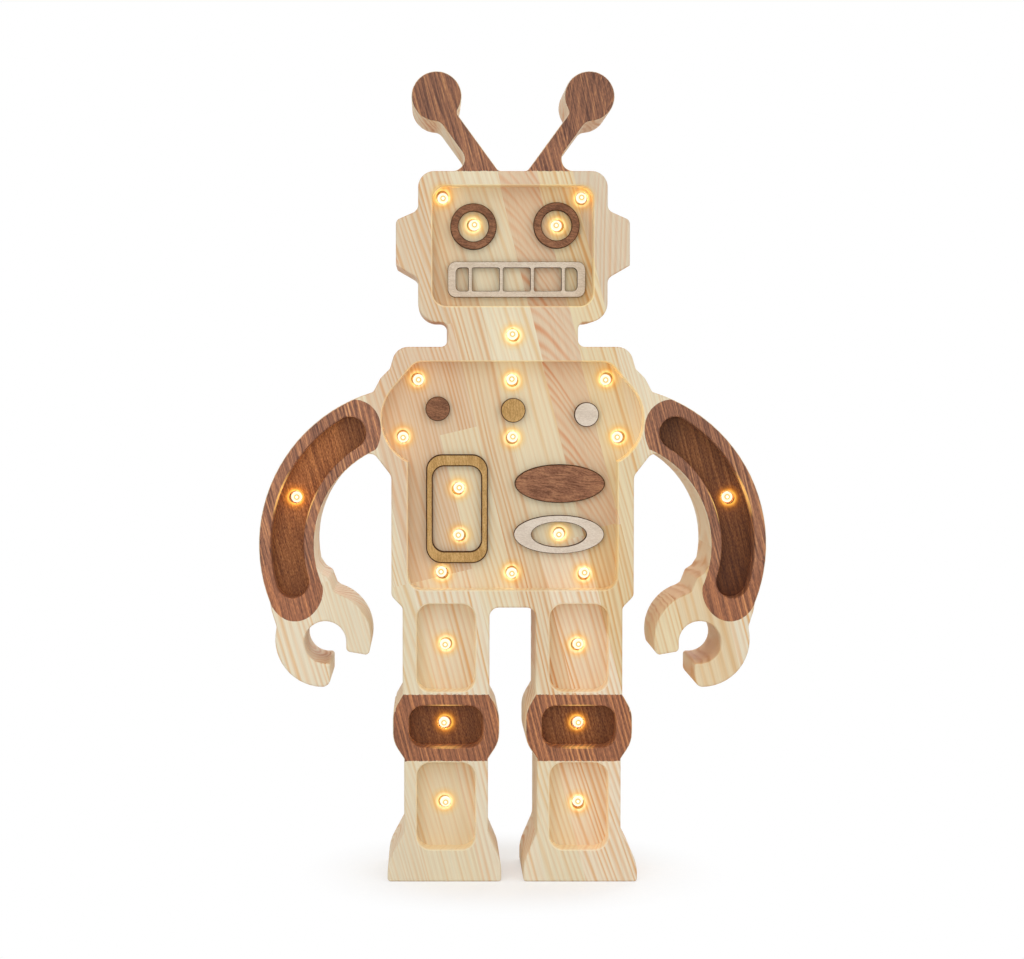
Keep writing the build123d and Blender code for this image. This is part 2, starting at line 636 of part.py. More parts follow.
def light_seat(name):
    """The Y of the wood that a light's flange rests on; the neck light ends flush with the front."""
    return FRONT + LED_LENGTH if name == "led_neck" else CAVITY_Y


def light_hole(name):
    """The hole for one light, with its countersunk mouth."""
    x, z = LIGHTS[name]
    face = light_floor(name)
    hole = peg(x, z, LED_R + LED_GAP, face - 1, light_seat(name) + 1)
    mouth = Cone(LED_R + LED_GAP, LED_SINK_R, LED_SINK)
    return hole + Pos(x, face + LED_SINK / 2, z) * Rot(90, 0, 0) * mouth


def pine_body():
    """The routed pine silhouette."""
    body = slab(redrawn(pair(outline_half())), FRONT, BACK)
    body -= slab(trays(), FRONT - PAST, FLOOR)
    body -= slab(shrunk(covered(), RIM), COVER_INNER_Y, BACK + PAST)
    body -= slab(wiring_space(), CAVITY_Y, BACK)
    body -= peg(*LIGHTS["led_neck"], NECK_WELL_R, light_seat("led_neck"), BACK)
    for name in LIGHTS:
        body -= light_hole(name)
    for place in screw_places():
        body -= peg(*place, SCREW_R, COVER_OUTER_Y - SCREW_LENGTH, BACK)
    for place in board_corners():
        body -= peg(*place, BOARD_SCREW_R, CAVITY_Y - BOARD_SCREW_BITE, CAVITY_Y)
    return body


# ---------------------------------------------------------------- lights

def light(name):
    """A round 5 mm lamp: dome, flange and two leads."""
    x, z = LIGHTS[name]
    back = light_seat(name)
    tip = back - LED_LENGTH
    lamp = peg(x, z, LED_R, tip + LED_R, back) + Pos(x, tip + LED_R, z) * Sphere(LED_R)
    lamp += peg(x, z, LED_FLANGE_R, back, back + LED_FLANGE)
    for side in (-1, 1):
        lead = Box(LEAD, RIBBON_Y - back, LEAD)
        lamp += Pos(x + side * LEAD_PITCH, (RIBBON_Y + back) / 2, z) * lead
    return lamp


# ---------------------------------------------------------------- trims

def trim(shape):
    """A plywood trim lying on the floor of a tray."""
    return slab(shape, TRIM_Y, FLOOR)


def mouth_grille():
    """The mouth: a long frame with five windows."""
    grille = panel(MOUTH_X, MOUTH_Z, MOUTH, MOUTH_CORNER)
    run = MOUTH[0] - 2 * MOUTH_END
    wide = (run - MOUTH_FIRST - MOUTH_LAST - 4 * MOUTH_RIB) / 3
    band = panel(MOUTH_X, MOUTH_Z, (run, MOUTH_WINDOW), MOUTH_BAND_CORNER)
    x = MOUTH_X - run / 2
    for width in (MOUTH_FIRST, wide, wide, wide, MOUTH_LAST):
        grille -= panel(x + width / 2, MOUTH_Z, (width, MOUTH_WINDOW), MOUTH_WINDOW_CORNER) & band
        x += width + MOUTH_RIB
    return trim(grille)


def panel_frame():
    """The upright window frame on the belly."""
    hole = (PANEL[0] - 2 * PANEL_SIDE, PANEL[1] - 2 * PANEL_END)
    frame = RectangleRounded(*PANEL, PANEL_CORNER) - RectangleRounded(*hole, PANEL_HOLE_CORNER)
    return trim(Pos(PANEL_X, PANEL_Z) * frame)


def oval_panel():
    return trim(Pos(*OVAL_AT) * Ellipse(*OVAL))


def oval_ring():
    return trim(Pos(*OVAL_RING_AT) * (Ellipse(*OVAL) - Ellipse(*OVAL_HOLE)))


# ---------------------------------------------------------------- back cover and its screws

def can_shape(gap):
    return panel(0, SWITCH_Z, (CAN[0] + 2 * gap, CAN[1] + 2 * gap), CAN_CORNER)


def screw_head(x, z, grow=0.0):
    """A countersunk head, its flat top flush with the cover."""
    cone = Cone(SCREW_R + grow, SCREW_HEAD_R + grow, SCREW_HEAD)
    return Pos(x, COVER_OUTER_Y - SCREW_HEAD / 2, z) * Rot(-90, 0, 0) * cone


def back_cover():
    """The plywood board let into the back, with holes for screws, switch and inlet."""
    board = slab(shrunk(covered(), RIM + COVER_GAP), COVER_INNER_Y, COVER_OUTER_Y)
    board -= slab(can_shape(CAN_GAP), COVER_INNER_Y - 1, COVER_OUTER_Y + 1)
    board -= peg(0, INLET_Z, INLET_R + INLET_GAP, COVER_INNER_Y - 1, COVER_OUTER_Y + 1)
    for x, z in screw_places():
        board -= peg(x, z, SCREW_R, COVER_INNER_Y - 1, COVER_OUTER_Y + 1)
        board -= screw_head(x, z)
    return board


def cover_screws():
    """Small countersunk wood screws with a cross slot."""
    screws = []
    for x, z in screw_places():
        screw = peg(x, z, SCREW_R, COVER_OUTER_Y - SCREW_LENGTH, COVER_OUTER_Y - SCREW_HEAD)
        screw += screw_head(x, z)
        for turn in (0, 90):
            screw -= Pos(x, COVER_OUTER_Y, z) * Rot(0, turn, 0) * Box(*SCREW_SLOT)
        screws.append(screw)
    return Compound(children=screws)


# ---------------------------------------------------------------- rocker switch

def switch_housing():
    """The snap-in can with its bezel, open to the back, and two blade terminals."""
    housing = slab(panel(0, SWITCH_Z, BEZEL[:2], BEZEL_CORNER), COVER_OUTER_Y, COVER_OUTER_Y + BEZEL[2])
    housing += slab(can_shape(0), COVER_OUTER_Y - CAN[2], COVER_OUTER_Y)
    top = COVER_OUTER_Y + BEZEL[2]
    housing -= slab(panel(0, SWITCH_Z, WELL[:2], WELL_CORNER), PIVOT_Y - WELL[2], top + 1)
    hole = Cylinder(PIVOT_R + PIVOT_GAP, CAN[0] + 2)
    housing -= Pos(0, PIVOT_Y, SWITCH_Z) * Rot(0, 90, 0) * hole
    can_end = COVER_OUTER_Y - CAN[2]
    tab_end = SUPPLY_Y + SUPPLY_R
    for side in (-1, 1):
        tab = Box(TAB[0], can_end - tab_end, TAB[1])
        housing += Pos(0, (can_end + tab_end) / 2, SWITCH_Z + side * CAN[1] / 4) * tab
    return housing


def switch_rocker():
    """The paddle, tipped to its ON side, on two stub pivots."""
    half = WELL[0] / 2 - ROCKER_SIDE_GAP
    keel, low = ROCKER_KEEL
    side = make_face(Polyline(
        (-ROCKER_HALF, ROCKER_SHOULDER), (-ROCKER_HALF, ROCKER_END), (0, ROCKER_MIDDLE),
        (ROCKER_HALF, ROCKER_END), (ROCKER_HALF, ROCKER_SHOULDER), (keel, -low), (-keel, -low), close=True))
    paddle = extrude(Plane(origin=(half, 0, 0), x_dir=(0, 0, 1), z_dir=(-1, 0, 0)) * side, amount=2 * half)
    paddle += Rot(0, 90, 0) * Cylinder(PIVOT_R, 2 * half + 2 * PIVOT_IN)
    return Pos(0, PIVOT_Y, SWITCH_Z) * Rot(ROCKER_TILT, 0, 0) * paddle


# ---------------------------------------------------------------- power inlet

def power_inlet():
    """A round panel socket with a centre pin, for a barrel plug."""
    front = COVER_OUTER_Y + INLET_FLANGE
    inner = COVER_OUTER_Y - INLET_LENGTH
    inlet = peg(0, INLET_Z, INLET_FLANGE_R, COVER_OUTER_Y, front)
    inlet += peg(0, INLET_Z, INLET_R, inner, COVER_OUTER_Y)
    inlet -= peg(0, INLET_Z, SOCKET_R, front - SOCKET_DEPTH, front + 1)
    inlet += peg(0, INLET_Z, SOCKET_PIN_R, front - SOCKET_DEPTH, front - 1)
    lug_end = SUPPLY_Y + SUPPLY_R
    for side in (-1, 1):
        lug = Box(LUG[0], inner - lug_end, LUG[1])
        inlet += Pos(side * LUG_X, (inner + lug_end) / 2, INLET_Z) * lug
    return inlet


def inlet_nut():
    """The hexagonal nut that clamps the socket to the cover."""
    nut = Pos(0, INLET_Z) * RegularPolygon(NUT_ACROSS / 2, 6, major_radius=False)
    nut -= disc(0, INLET_Z, INLET_R)
    return slab(nut, COVER_INNER_Y - NUT, COVER_INNER_Y)


# ---------------------------------------------------------------- driver board and wiring

def board_corners():
    dx = BOARD[0] / 2 - BOARD_CORNER_IN
    dz = BOARD[1] / 2 - BOARD_CORNER_IN
    return [(sx * dx, BOARD_Z + sz * dz) for sx in (-1, 1) for sz in (-1, 1)]


def driver_board():
    """A small circuit board."""
    board = slab(panel(0, BOARD_Z, BOARD[:2], 1.0), BOARD_Y, BOARD_TOP)
    for place in board_corners():
        board -= peg(*place, BOARD_SCREW_R, BOARD_Y - 1, BOARD_TOP + 1)
    return board


def board_parts():
    """What is soldered on the board, each part standing on its face."""
    x, z = REGULATOR_AT
    parts = [Pos(x, BOARD_TOP + REGULATOR[1] / 2, BOARD_Z + z) * Box(*REGULATOR)]
    x, z = RESISTOR_AT
    for row in range(4):
        place = Pos(x, BOARD_TOP + RESISTOR[1] / 2, BOARD_Z + z - row * RESISTOR_PITCH)
        parts.append(place * Box(*RESISTOR))
    height = SUPPLY_Y - SUPPLY_R - BOARD_TOP
    for z in (TERMINAL_LOW_Z, TERMINAL_HIGH_Z):
        parts.append(Pos(0, BOARD_TOP + height / 2, z) * Box(TERMINAL[0], height, TERMINAL[1]))
    x, z = CAPACITOR_AT
    parts.append(peg(x, BOARD_Z + z, CAPACITOR[0], BOARD_TOP, BOARD_TOP + CAPACITOR[1]))
    return Compound(children=parts)


def board_spacers():
    """Sleeves that hold the board off the wood."""
    rings = []
    for place in board_corners():
        ring = peg(*place, SPACER_R, CAVITY_Y, BOARD_Y)
        rings.append(ring - peg(*place, BOARD_SCREW_R, CAVITY_Y, BOARD_Y))
    return Compound(children=rings)


def board_screws():
    """Round-headed screws through board and spacers into the wood."""
    screws = []
    for place in board_corners():
        shank = peg(*place, BOARD_SCREW_R, CAVITY_Y - BOARD_SCREW_BITE, BOARD_TOP)
        head = peg(*place, BOARD_SCREW_HEAD_R, BOARD_TOP, BOARD_TOP + BOARD_SCREW_HEAD)
        screws.append(shank + head)
    return Compound(children=screws)


def arm_run(sign):
    """The bends of an arm's wire, along the middle of its channel."""
    bends = [arm_point(ARM_MID, angle) for angle in (68, 56, 44, 32)]
    return [(sign * x, z) for x, z in bends]


def ribbon_runs():
    """Each run of twin wire, as the lights and bends that it passes in order."""
    at = LIGHTS
    fork = (0, (HEAD_TRAY_LOW + HEAD_TRAY_HIGH) / 2)
    bus = -BOARD[0] / 2 + 1
    high, low = at["led_chest_middle"][1], at["led_waist_middle"][1] + 6
    runs = [
        [at["led_neck"], fork, at["led_eye_left"], at["led_head_left"]],
        [fork, at["led_eye_right"], at["led_head_right"]],
        [at["led_neck"], at["led_collar_middle"], (bus, high), (bus, low), at["led_waist_middle"]],
        [(bus, high), at["led_chest_middle"]],
        [(bus, at["led_panel_high"][1]), at["led_panel_high"], at["led_panel_low"]],
        [at["led_waist_middle"], at["led_oval"]],
        [(bus, TERMINAL_HIGH_Z), (-TERMINAL[0] / 2 - RIBBON_WIDTH / 2, TERMINAL_HIGH_Z)],
    ]
    for side, sign in (("left", -1), ("right", 1)):
        chest = at[f"led_chest_{side}"]
        runs.append([at["led_collar_middle"], at[f"led_collar_{side}"], chest])
        runs.append([chest, *arm_run(sign), at[f"led_arm_{side}"]])
        leg = [at[f"led_{name}_{side}"] for name in ("waist", "thigh", "knee", "shin")]
        runs.append([at["led_waist_middle"], *leg])
    return runs


def wire_harness():
    """Flat twin wire from light to light, soldered to the ends of their leads."""
    flat = None
    for run in ribbon_runs():
        for (x0, z0), (x1, z1) in zip(run, run[1:]):
            length = ((x1 - x0) ** 2 + (z1 - z0) ** 2) ** 0.5
            turn = degrees(atan2(z1 - z0, x1 - x0))
            place = Pos((x0 + x1) / 2, (z0 + z1) / 2) * Rot(0, 0, turn)
            piece = place * SlotCenterToCenter(length, RIBBON_WIDTH)
            flat = piece if flat is None else flat + piece
    return slab(flat, RIBBON_Y, RIBBON_Y + RIBBON)


def supply_leads():
    """Round wires: inlet to board, and board to switch and back."""
    low, high = TERMINAL_LOW_Z, TERMINAL_HIGH_Z
    tab_low, tab_high = SWITCH_Z - CAN[1] / 4, SWITCH_Z + CAN[1] / 4
    routes = [
        [(-LUG_X, INLET_Z), (-LUG_X, low)],
        [(LUG_X, INLET_Z), (LUG_X, low)],
        [(-FEED_X, high), (-FEED_X, tab_low)],
        [
            (RETURN_X, high),
            (RETURN_X, high + RETURN_RISE),
            (RETURN_OUT, high + RETURN_RISE + RETURN_SLANT),
            (RETURN_OUT, tab_high - RETURN_DROP),
            (RETURN_TAB_X, tab_high),
        ],
    ]
    wires = []
    for route in routes:
        points = [(x, SUPPLY_Y, z) for x, z in route]
        path = Line(*points) if len(points) == 2 else FilletPolyline(*points, radius=RETURN_BEND)
        section = Plane(origin=points[0], z_dir=path % 0) * Circle(SUPPLY_R)
        wires.append(sweep(section, path=path))
    return Compound(children=wires)


# ---------------------------------------------------------------- every piece

def pieces():
    """Each named piece of the lamp."""
    made = {
        "pine_body": pine_body(),
        "back_cover": back_cover(),
        "cover_screws": cover_screws(),
        "mouth_grille": mouth_grille(),
        "panel_frame": panel_frame(),
        "oval_panel": oval_panel(),
        "oval_ring": oval_ring(),
        "switch_housing": switch_housing(),
        "switch_rocker": switch_rocker(),
        "power_inlet": power_inlet(),
        "inlet_nut": inlet_nut(),
        "driver_board": driver_board(),
        "board_parts": board_parts(),
        "board_spacers": board_spacers(),
        "board_screws": board_screws(),
        "wire_harness": wire_harness(),
        "supply_leads": supply_leads(),
    }
    for name, place in EYES.items():
        made[name] = trim(disc(*place, EYE_OUTER) - disc(*place, EYE_INNER))
    for name, place in BUTTONS.items():
        made[name] = trim(disc(*place, BUTTON_R))
    for name in LIGHTS:
        made[name] = light(name)
    return made


os.makedirs("parts", exist_ok=True)
for name, shape in pieces().items():
    export_step(shape, f"parts/{name}.step")
    print(f"{name}: {len(shape.solids())} solid(s), {shape.volume:.0f} mm3")
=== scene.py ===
"""A robot night lamp of pine with routed trays, plywood trims and small warm lights."""

from __future__ import annotations

import logging
import math
from collections.abc import Callable
from dataclasses import dataclass, field
from enum import Enum
from typing import Any

import bmesh
import bpy
from mathutils import Matrix, Vector

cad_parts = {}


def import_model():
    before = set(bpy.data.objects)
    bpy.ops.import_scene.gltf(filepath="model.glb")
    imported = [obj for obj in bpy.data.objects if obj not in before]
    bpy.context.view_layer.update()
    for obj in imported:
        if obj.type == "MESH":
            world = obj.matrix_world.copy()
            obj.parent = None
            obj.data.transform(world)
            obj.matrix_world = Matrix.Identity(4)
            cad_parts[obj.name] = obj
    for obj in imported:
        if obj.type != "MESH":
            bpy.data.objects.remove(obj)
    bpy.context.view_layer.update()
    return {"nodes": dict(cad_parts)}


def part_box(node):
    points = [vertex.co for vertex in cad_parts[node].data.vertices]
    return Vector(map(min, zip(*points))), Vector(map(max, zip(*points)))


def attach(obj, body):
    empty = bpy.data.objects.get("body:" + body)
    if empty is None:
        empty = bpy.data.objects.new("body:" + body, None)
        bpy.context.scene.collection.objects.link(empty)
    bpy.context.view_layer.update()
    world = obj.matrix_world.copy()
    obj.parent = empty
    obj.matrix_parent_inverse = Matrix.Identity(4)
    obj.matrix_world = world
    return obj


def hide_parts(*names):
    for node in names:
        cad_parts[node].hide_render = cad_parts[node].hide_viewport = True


LOG = logging.getLogger("robot_lamp")

MM = 0.001
LAMP, ROCKER = "lamp", "rocker"
WALLS = "tray_walls"            # the face attribute that marks the walls of the trays
RIM = "rim"                     # a vertex attribute that is gone once the edges are eased

# Levels across the lamp's depth, in millimetres.
FRONT_Y = -24.0                 # the front of the pine
FLOOR_Y = -14.0                 # the floors of the trays
TRIM_Y = -17.0                  # the faces of the trims
BACK_Y = 24.0                   # the back of the pine
COVER_Y = 20.0                  # the outer face of the back cover
GOLDEN_TURN = math.radians(137.5)   # between one light's slant and the next one's

Socket = bpy.types.NodeSocket
Piece = bpy.types.Object
Nodes = dict[str, bpy.types.Object]
Colour = tuple[float, float, float, float]
Tint = tuple[float, float, float]
Point = tuple[float, float, float]
Span = tuple[float, float]


# ---------------------------------------------------------------- colour and node helpers

def linear(code: str) -> Colour:
    """Turns an sRGB hex value to linear colour.

    Args:
        code: The colour as "#rrggbb".

    Returns:
        Red, green, blue and an alpha of 1.
    """
    parts = [int(code[i:i + 2], 16) / 255 for i in (1, 3, 5)]
    red, green, blue = (c / 12.92 if c <= 0.04045 else ((c + 0.055) / 1.055) ** 2.4 for c in parts)
    return red, green, blue, 1.0


def value_of(given: Any) -> Any:
    """What a socket or a ramp's stop takes: hex colours turn linear, the rest stays."""
    return linear(given) if isinstance(given, str) else given


class Graph:
    """The node tree of one material or world."""

    def __init__(self, owner: bpy.types.Material | bpy.types.World) -> None:
        """Clears the owner's tree and keeps it.

        Args:
            owner: What the nodes shade.
        """
        owner.use_nodes = True
        self.tree = owner.node_tree
        self.tree.nodes.clear()

    def put(self, kind: str, *inputs: Any, at: dict[str, Any] | None = None,
            give: int | str = 0, stops: Any = None, **settings: Any) -> Socket | None:
        """Adds a node with its settings and links.

        Args:
            kind: The node's type without the word ShaderNode, and its operation after a space.
            *inputs: Sockets or values for the inputs that the node uses, in their order.
            at: Sockets or values for inputs by name.
            give: Which of the outputs that it uses to return, by place or name.
            stops: Places of a colour ramp with a colour or a grey value each.
            **settings: Attributes of the node.

        Returns:
            The chosen output, or None from a node without any.
        """
        kind, _, operation = kind.partition(" ")
        made = self.tree.nodes.new("ShaderNode" + kind)
        if operation:
            made.operation = operation
        for name, setting in settings.items():
            setattr(made, name, setting)
        used = [socket for socket in made.inputs if socket.enabled]
        named = [(made.inputs[name], given) for name, given in (at or {}).items()]
        for socket, given in [*zip(used, inputs), *named]:
            if isinstance(given, Socket):
                self.tree.links.new(given, socket)
            else:
                socket.default_value = value_of(given)
        if stops:
            ramp = made.color_ramp
            while len(ramp.elements) < len(stops):
                ramp.elements.new(1.0)
            for element, (place, given) in zip(ramp.elements, stops):
                grey = isinstance(given, float)
                element.position = place
                element.color = (given, given, given, 1.0) if grey else value_of(given)
        if isinstance(give, str):
            return made.outputs[give]
        results = [socket for socket in made.outputs if socket.enabled]
        return results[give] if results else None

    def place(self) -> Socket:
        """The point on the object, in millimetres."""
        metres = self.put("TexCoord", give="Object")
        return self.put("VectorMath SCALE", metres, 1 / MM)

    def clouds(self, place: Socket, size: Point, detail: float = 2.0,
               give: str = "Fac") -> Socket:
        """Noise whose patches have a size.

        Args:
            place: The point, in millimetres.
            size: The patches' size along each axis, in millimetres.
            detail: How many finer layers it has.
            give: "Fac" for one value, "Color" for three.

        Returns:
            Values round 0.5.
        """
        scaled = self.put("VectorMath MULTIPLY", place, tuple(1 / s for s in size))
        return self.put("TexNoise", scaled, 1.0, detail, give=give)

    def tinted(self, share: Socket, colour: Socket, tint: Any) -> Socket:
        """A colour, multiplied by a tint where the share is 1."""
        other = self.put("VectorMath MULTIPLY", colour, tint)
        return self.put("Mix", share, colour, other, data_type="RGBA")

    def close(self, **surface: Any) -> None:
        """Links a principled surface to the output.

        Args:
            **surface: Its inputs, with _ for each space in a name.
        """
        named = {name.replace("_", " "): given for name, given in surface.items()}
        self.put("OutputMaterial", self.put("BsdfPrincipled", at=named))


@dataclass(frozen=True)
class Finish:
    """What a surface is made of; each kind says in shade() how it looks."""

    name: str

    def build(self) -> bpy.types.Material:
        """Makes the material.

        Returns:
            The material.
        """
        material = bpy.data.materials.new(self.name)
        self.shade(Graph(material))
        return material

    def shade(self, graph: Graph) -> None:
        """Adds the nodes.

        Args:
            graph: The material's empty tree.
        """
        raise NotImplementedError


# ---------------------------------------------------------------- pine, plain and stained

@dataclass(frozen=True)
class Board:
    """One length of timber: its colours, and how it was cut from the log."""

    early: str                  # spring wood
    late: str                   # summer wood
    pith: float                 # mm across the grain to the tree's middle
    depth: float                # mm from the front back to the tree's middle
    taper: float                # how fast the rings narrow towards the top
    spacing: float              # mm between rings


CREAM_FINE = Board("#e6d9bd", "#dfbd8e", -150.0, 45.0, 0.04, 1.6)
CREAM_PLAIN = Board("#e6d9bb", "#dfbf90", -170.0, 50.0, 0.06, 2.5)
CREAM_GOLD = Board("#e8dcc2", "#ddab70", -140.0, 50.0, 0.03, 2.7)
GOLD_LINES = Board("#e5d4ae", "#d8a260", -110.0, 46.0, 0.07, 2.3)
ORANGE_LINES = Board("#e2d1b1", "#d3965a", -120.0, 48.0, 0.02, 2.25)
PINK_FINE = Board("#dec7a9", "#d5a274", -110.0, 60.0, 0.05, 1.9)
PINK_SWEPT = Board("#dec5a5", "#d5976c", 73.0, 24.0, 0.33, 2.3)
PINK_LEFT = Board("#dec6ab", "#d49d74", -120.0, 55.0, 0.33, 2.3)
PINK_HEAD = Board("#dac7aa", "#d3a26e", -110.0, 46.0, 0.07, 2.3)
CREAM_RIGHT = Board("#dacab0", "#d4aa82", -130.0, 50.0, -0.30, 2.3)
PINK_RIGHT = Board("#dac5ac", "#d1a27c", -150.0, 60.0, -1.05, 3.3)
LEG_LINES = Board("#ebdcc2", "#dda970", -110.0, 46.0, 0.07, 2.3)
WARM_LINES = Board("#e0ca9f", "#d29a5a", -110.0, 44.0, 0.05, 2.3)
HAND_GOLD = Board("#e2cda8", "#d4a15f", -120.0, 40.0, 0.05, 4.8)


@dataclass(frozen=True)
class Stave:
    """One strip of the edge-glued panel, of two or three lengths of timber."""

    start: float                # mm across the grain
    joint: float                # mm along the grain, between lower and middle
    lower: Board
    middle: Board
    crown: float                # mm along the grain, between middle and upper
    upper: Board


STAVES = (
    Stave(-170.0, 150.0, CREAM_GOLD, CREAM_FINE, 390.0, CREAM_FINE),
    Stave(-96.0, 172.0, CREAM_GOLD, CREAM_FINE, 390.0, CREAM_FINE),
    Stave(-62.0, 158.0, CREAM_FINE, CREAM_GOLD, 390.0, CREAM_GOLD),
    Stave(-38.0, 148.0, CREAM_PLAIN, CREAM_FINE, 390.0, CREAM_FINE),
    Stave(-14.0, 147.0, CREAM_GOLD, PINK_FINE, 262.0, PINK_LEFT),
    Stave(14.5, 212.0, CREAM_PLAIN, PINK_FINE, 262.0, PINK_HEAD),
    Stave(33.0, 70.0, LEG_LINES, ORANGE_LINES, 390.0, ORANGE_LINES),
    Stave(47.5, 150.0, LEG_LINES, CREAM_PLAIN, 390.0, CREAM_PLAIN),
    Stave(69.5, 152.0, WARM_LINES, PINK_SWEPT, 390.0, PINK_SWEPT),
    Stave(88.0, 146.0, GOLD_LINES, GOLD_LINES, 390.0, CREAM_GOLD),
    Stave(104.0, 150.0, HAND_GOLD, CREAM_FINE, 237.0, CREAM_RIGHT),
    Stave(126.0, 120.0, CREAM_GOLD, CREAM_PLAIN, 237.0, PINK_RIGHT),
)
STAVE_LOW, STAVE_SPAN = -180.0, 380.0   # mm across the grain, of all the staves
GRAIN_TOP = 400.0               # mm along the grain, above every joint

# A ramp holds a board's cut as values from 0 to 1, so each has a span that it is a share of.
PITHS = 800.0                   # mm, half of it on each side
DEPTHS = 100.0                  # mm
TAPERS = 3.0                    # half of it below 0
SPACINGS = 10.0                 # mm


@dataclass(frozen=True)
class ArmStain:
    """The stained band along an arm: a bent slot with round ends, in millimetres."""

    x: float = 44.4             # the middle that the arm bends round
    z: float = 158.8
    middle: float = 61.6        # from there to the middle of the band
    half: float = 12.8          # half its width
    upper_round: float = 15.0   # the radii of its ends
    lower_round: float = 12.9
    low_deg: float = -33.6      # where it starts and ends round the bend
    high_deg: float = 73.0
    tray_half: float = 9.0      # half the width of the tray in it
    from_x: float = 55.0        # the arms lie further out
    floor_x: Span = (-90.0, 90.0)   # over which the floors' painted light and shade change sideways
    floor_z: Span = (120.0, 205.0)  # and upwards
    end_x: Span = (76.0, 84.0)      # and where the painted shadow at the upper ends lies
    right_shade_x: Span = (60.0, 95.0)     # over which painted shade deepens outwards in the right arm's tray
    right_shade_z: Span = (180.0, 128.0)   # and downwards


@dataclass(frozen=True)
class KneeStain:
    """The stained band across a knee and the tray in it, in millimetres."""

    low: float = 57.0           # the band's edges
    high: float = 88.3
    tray_x: float = 31.2        # the tray's middle
    tray_z: float = 73.15
    tray_half_x: float = 17.9   # half its sizes, a little over
    tray_half_z: float = 10.4


@dataclass(frozen=True)
class Spot:
    """What the recipes for pine read at a point; each value is a socket."""

    place: Socket               # millimetres
    grain: Socket               # the same in axes along the grain
    x: Socket
    y: Socket
    z: Socket
    normal: Socket
    front: Socket               # 1 on faces that look forwards
    floor: Socket               # 1 on the floors of the trays
    wall: Socket                # 1 on their walls
    leg: Socket                 # 1 on the legs
    late: Socket                # share of summer wood
    fibre: Socket               # fibres, drawn about ten times too thick, so that they show


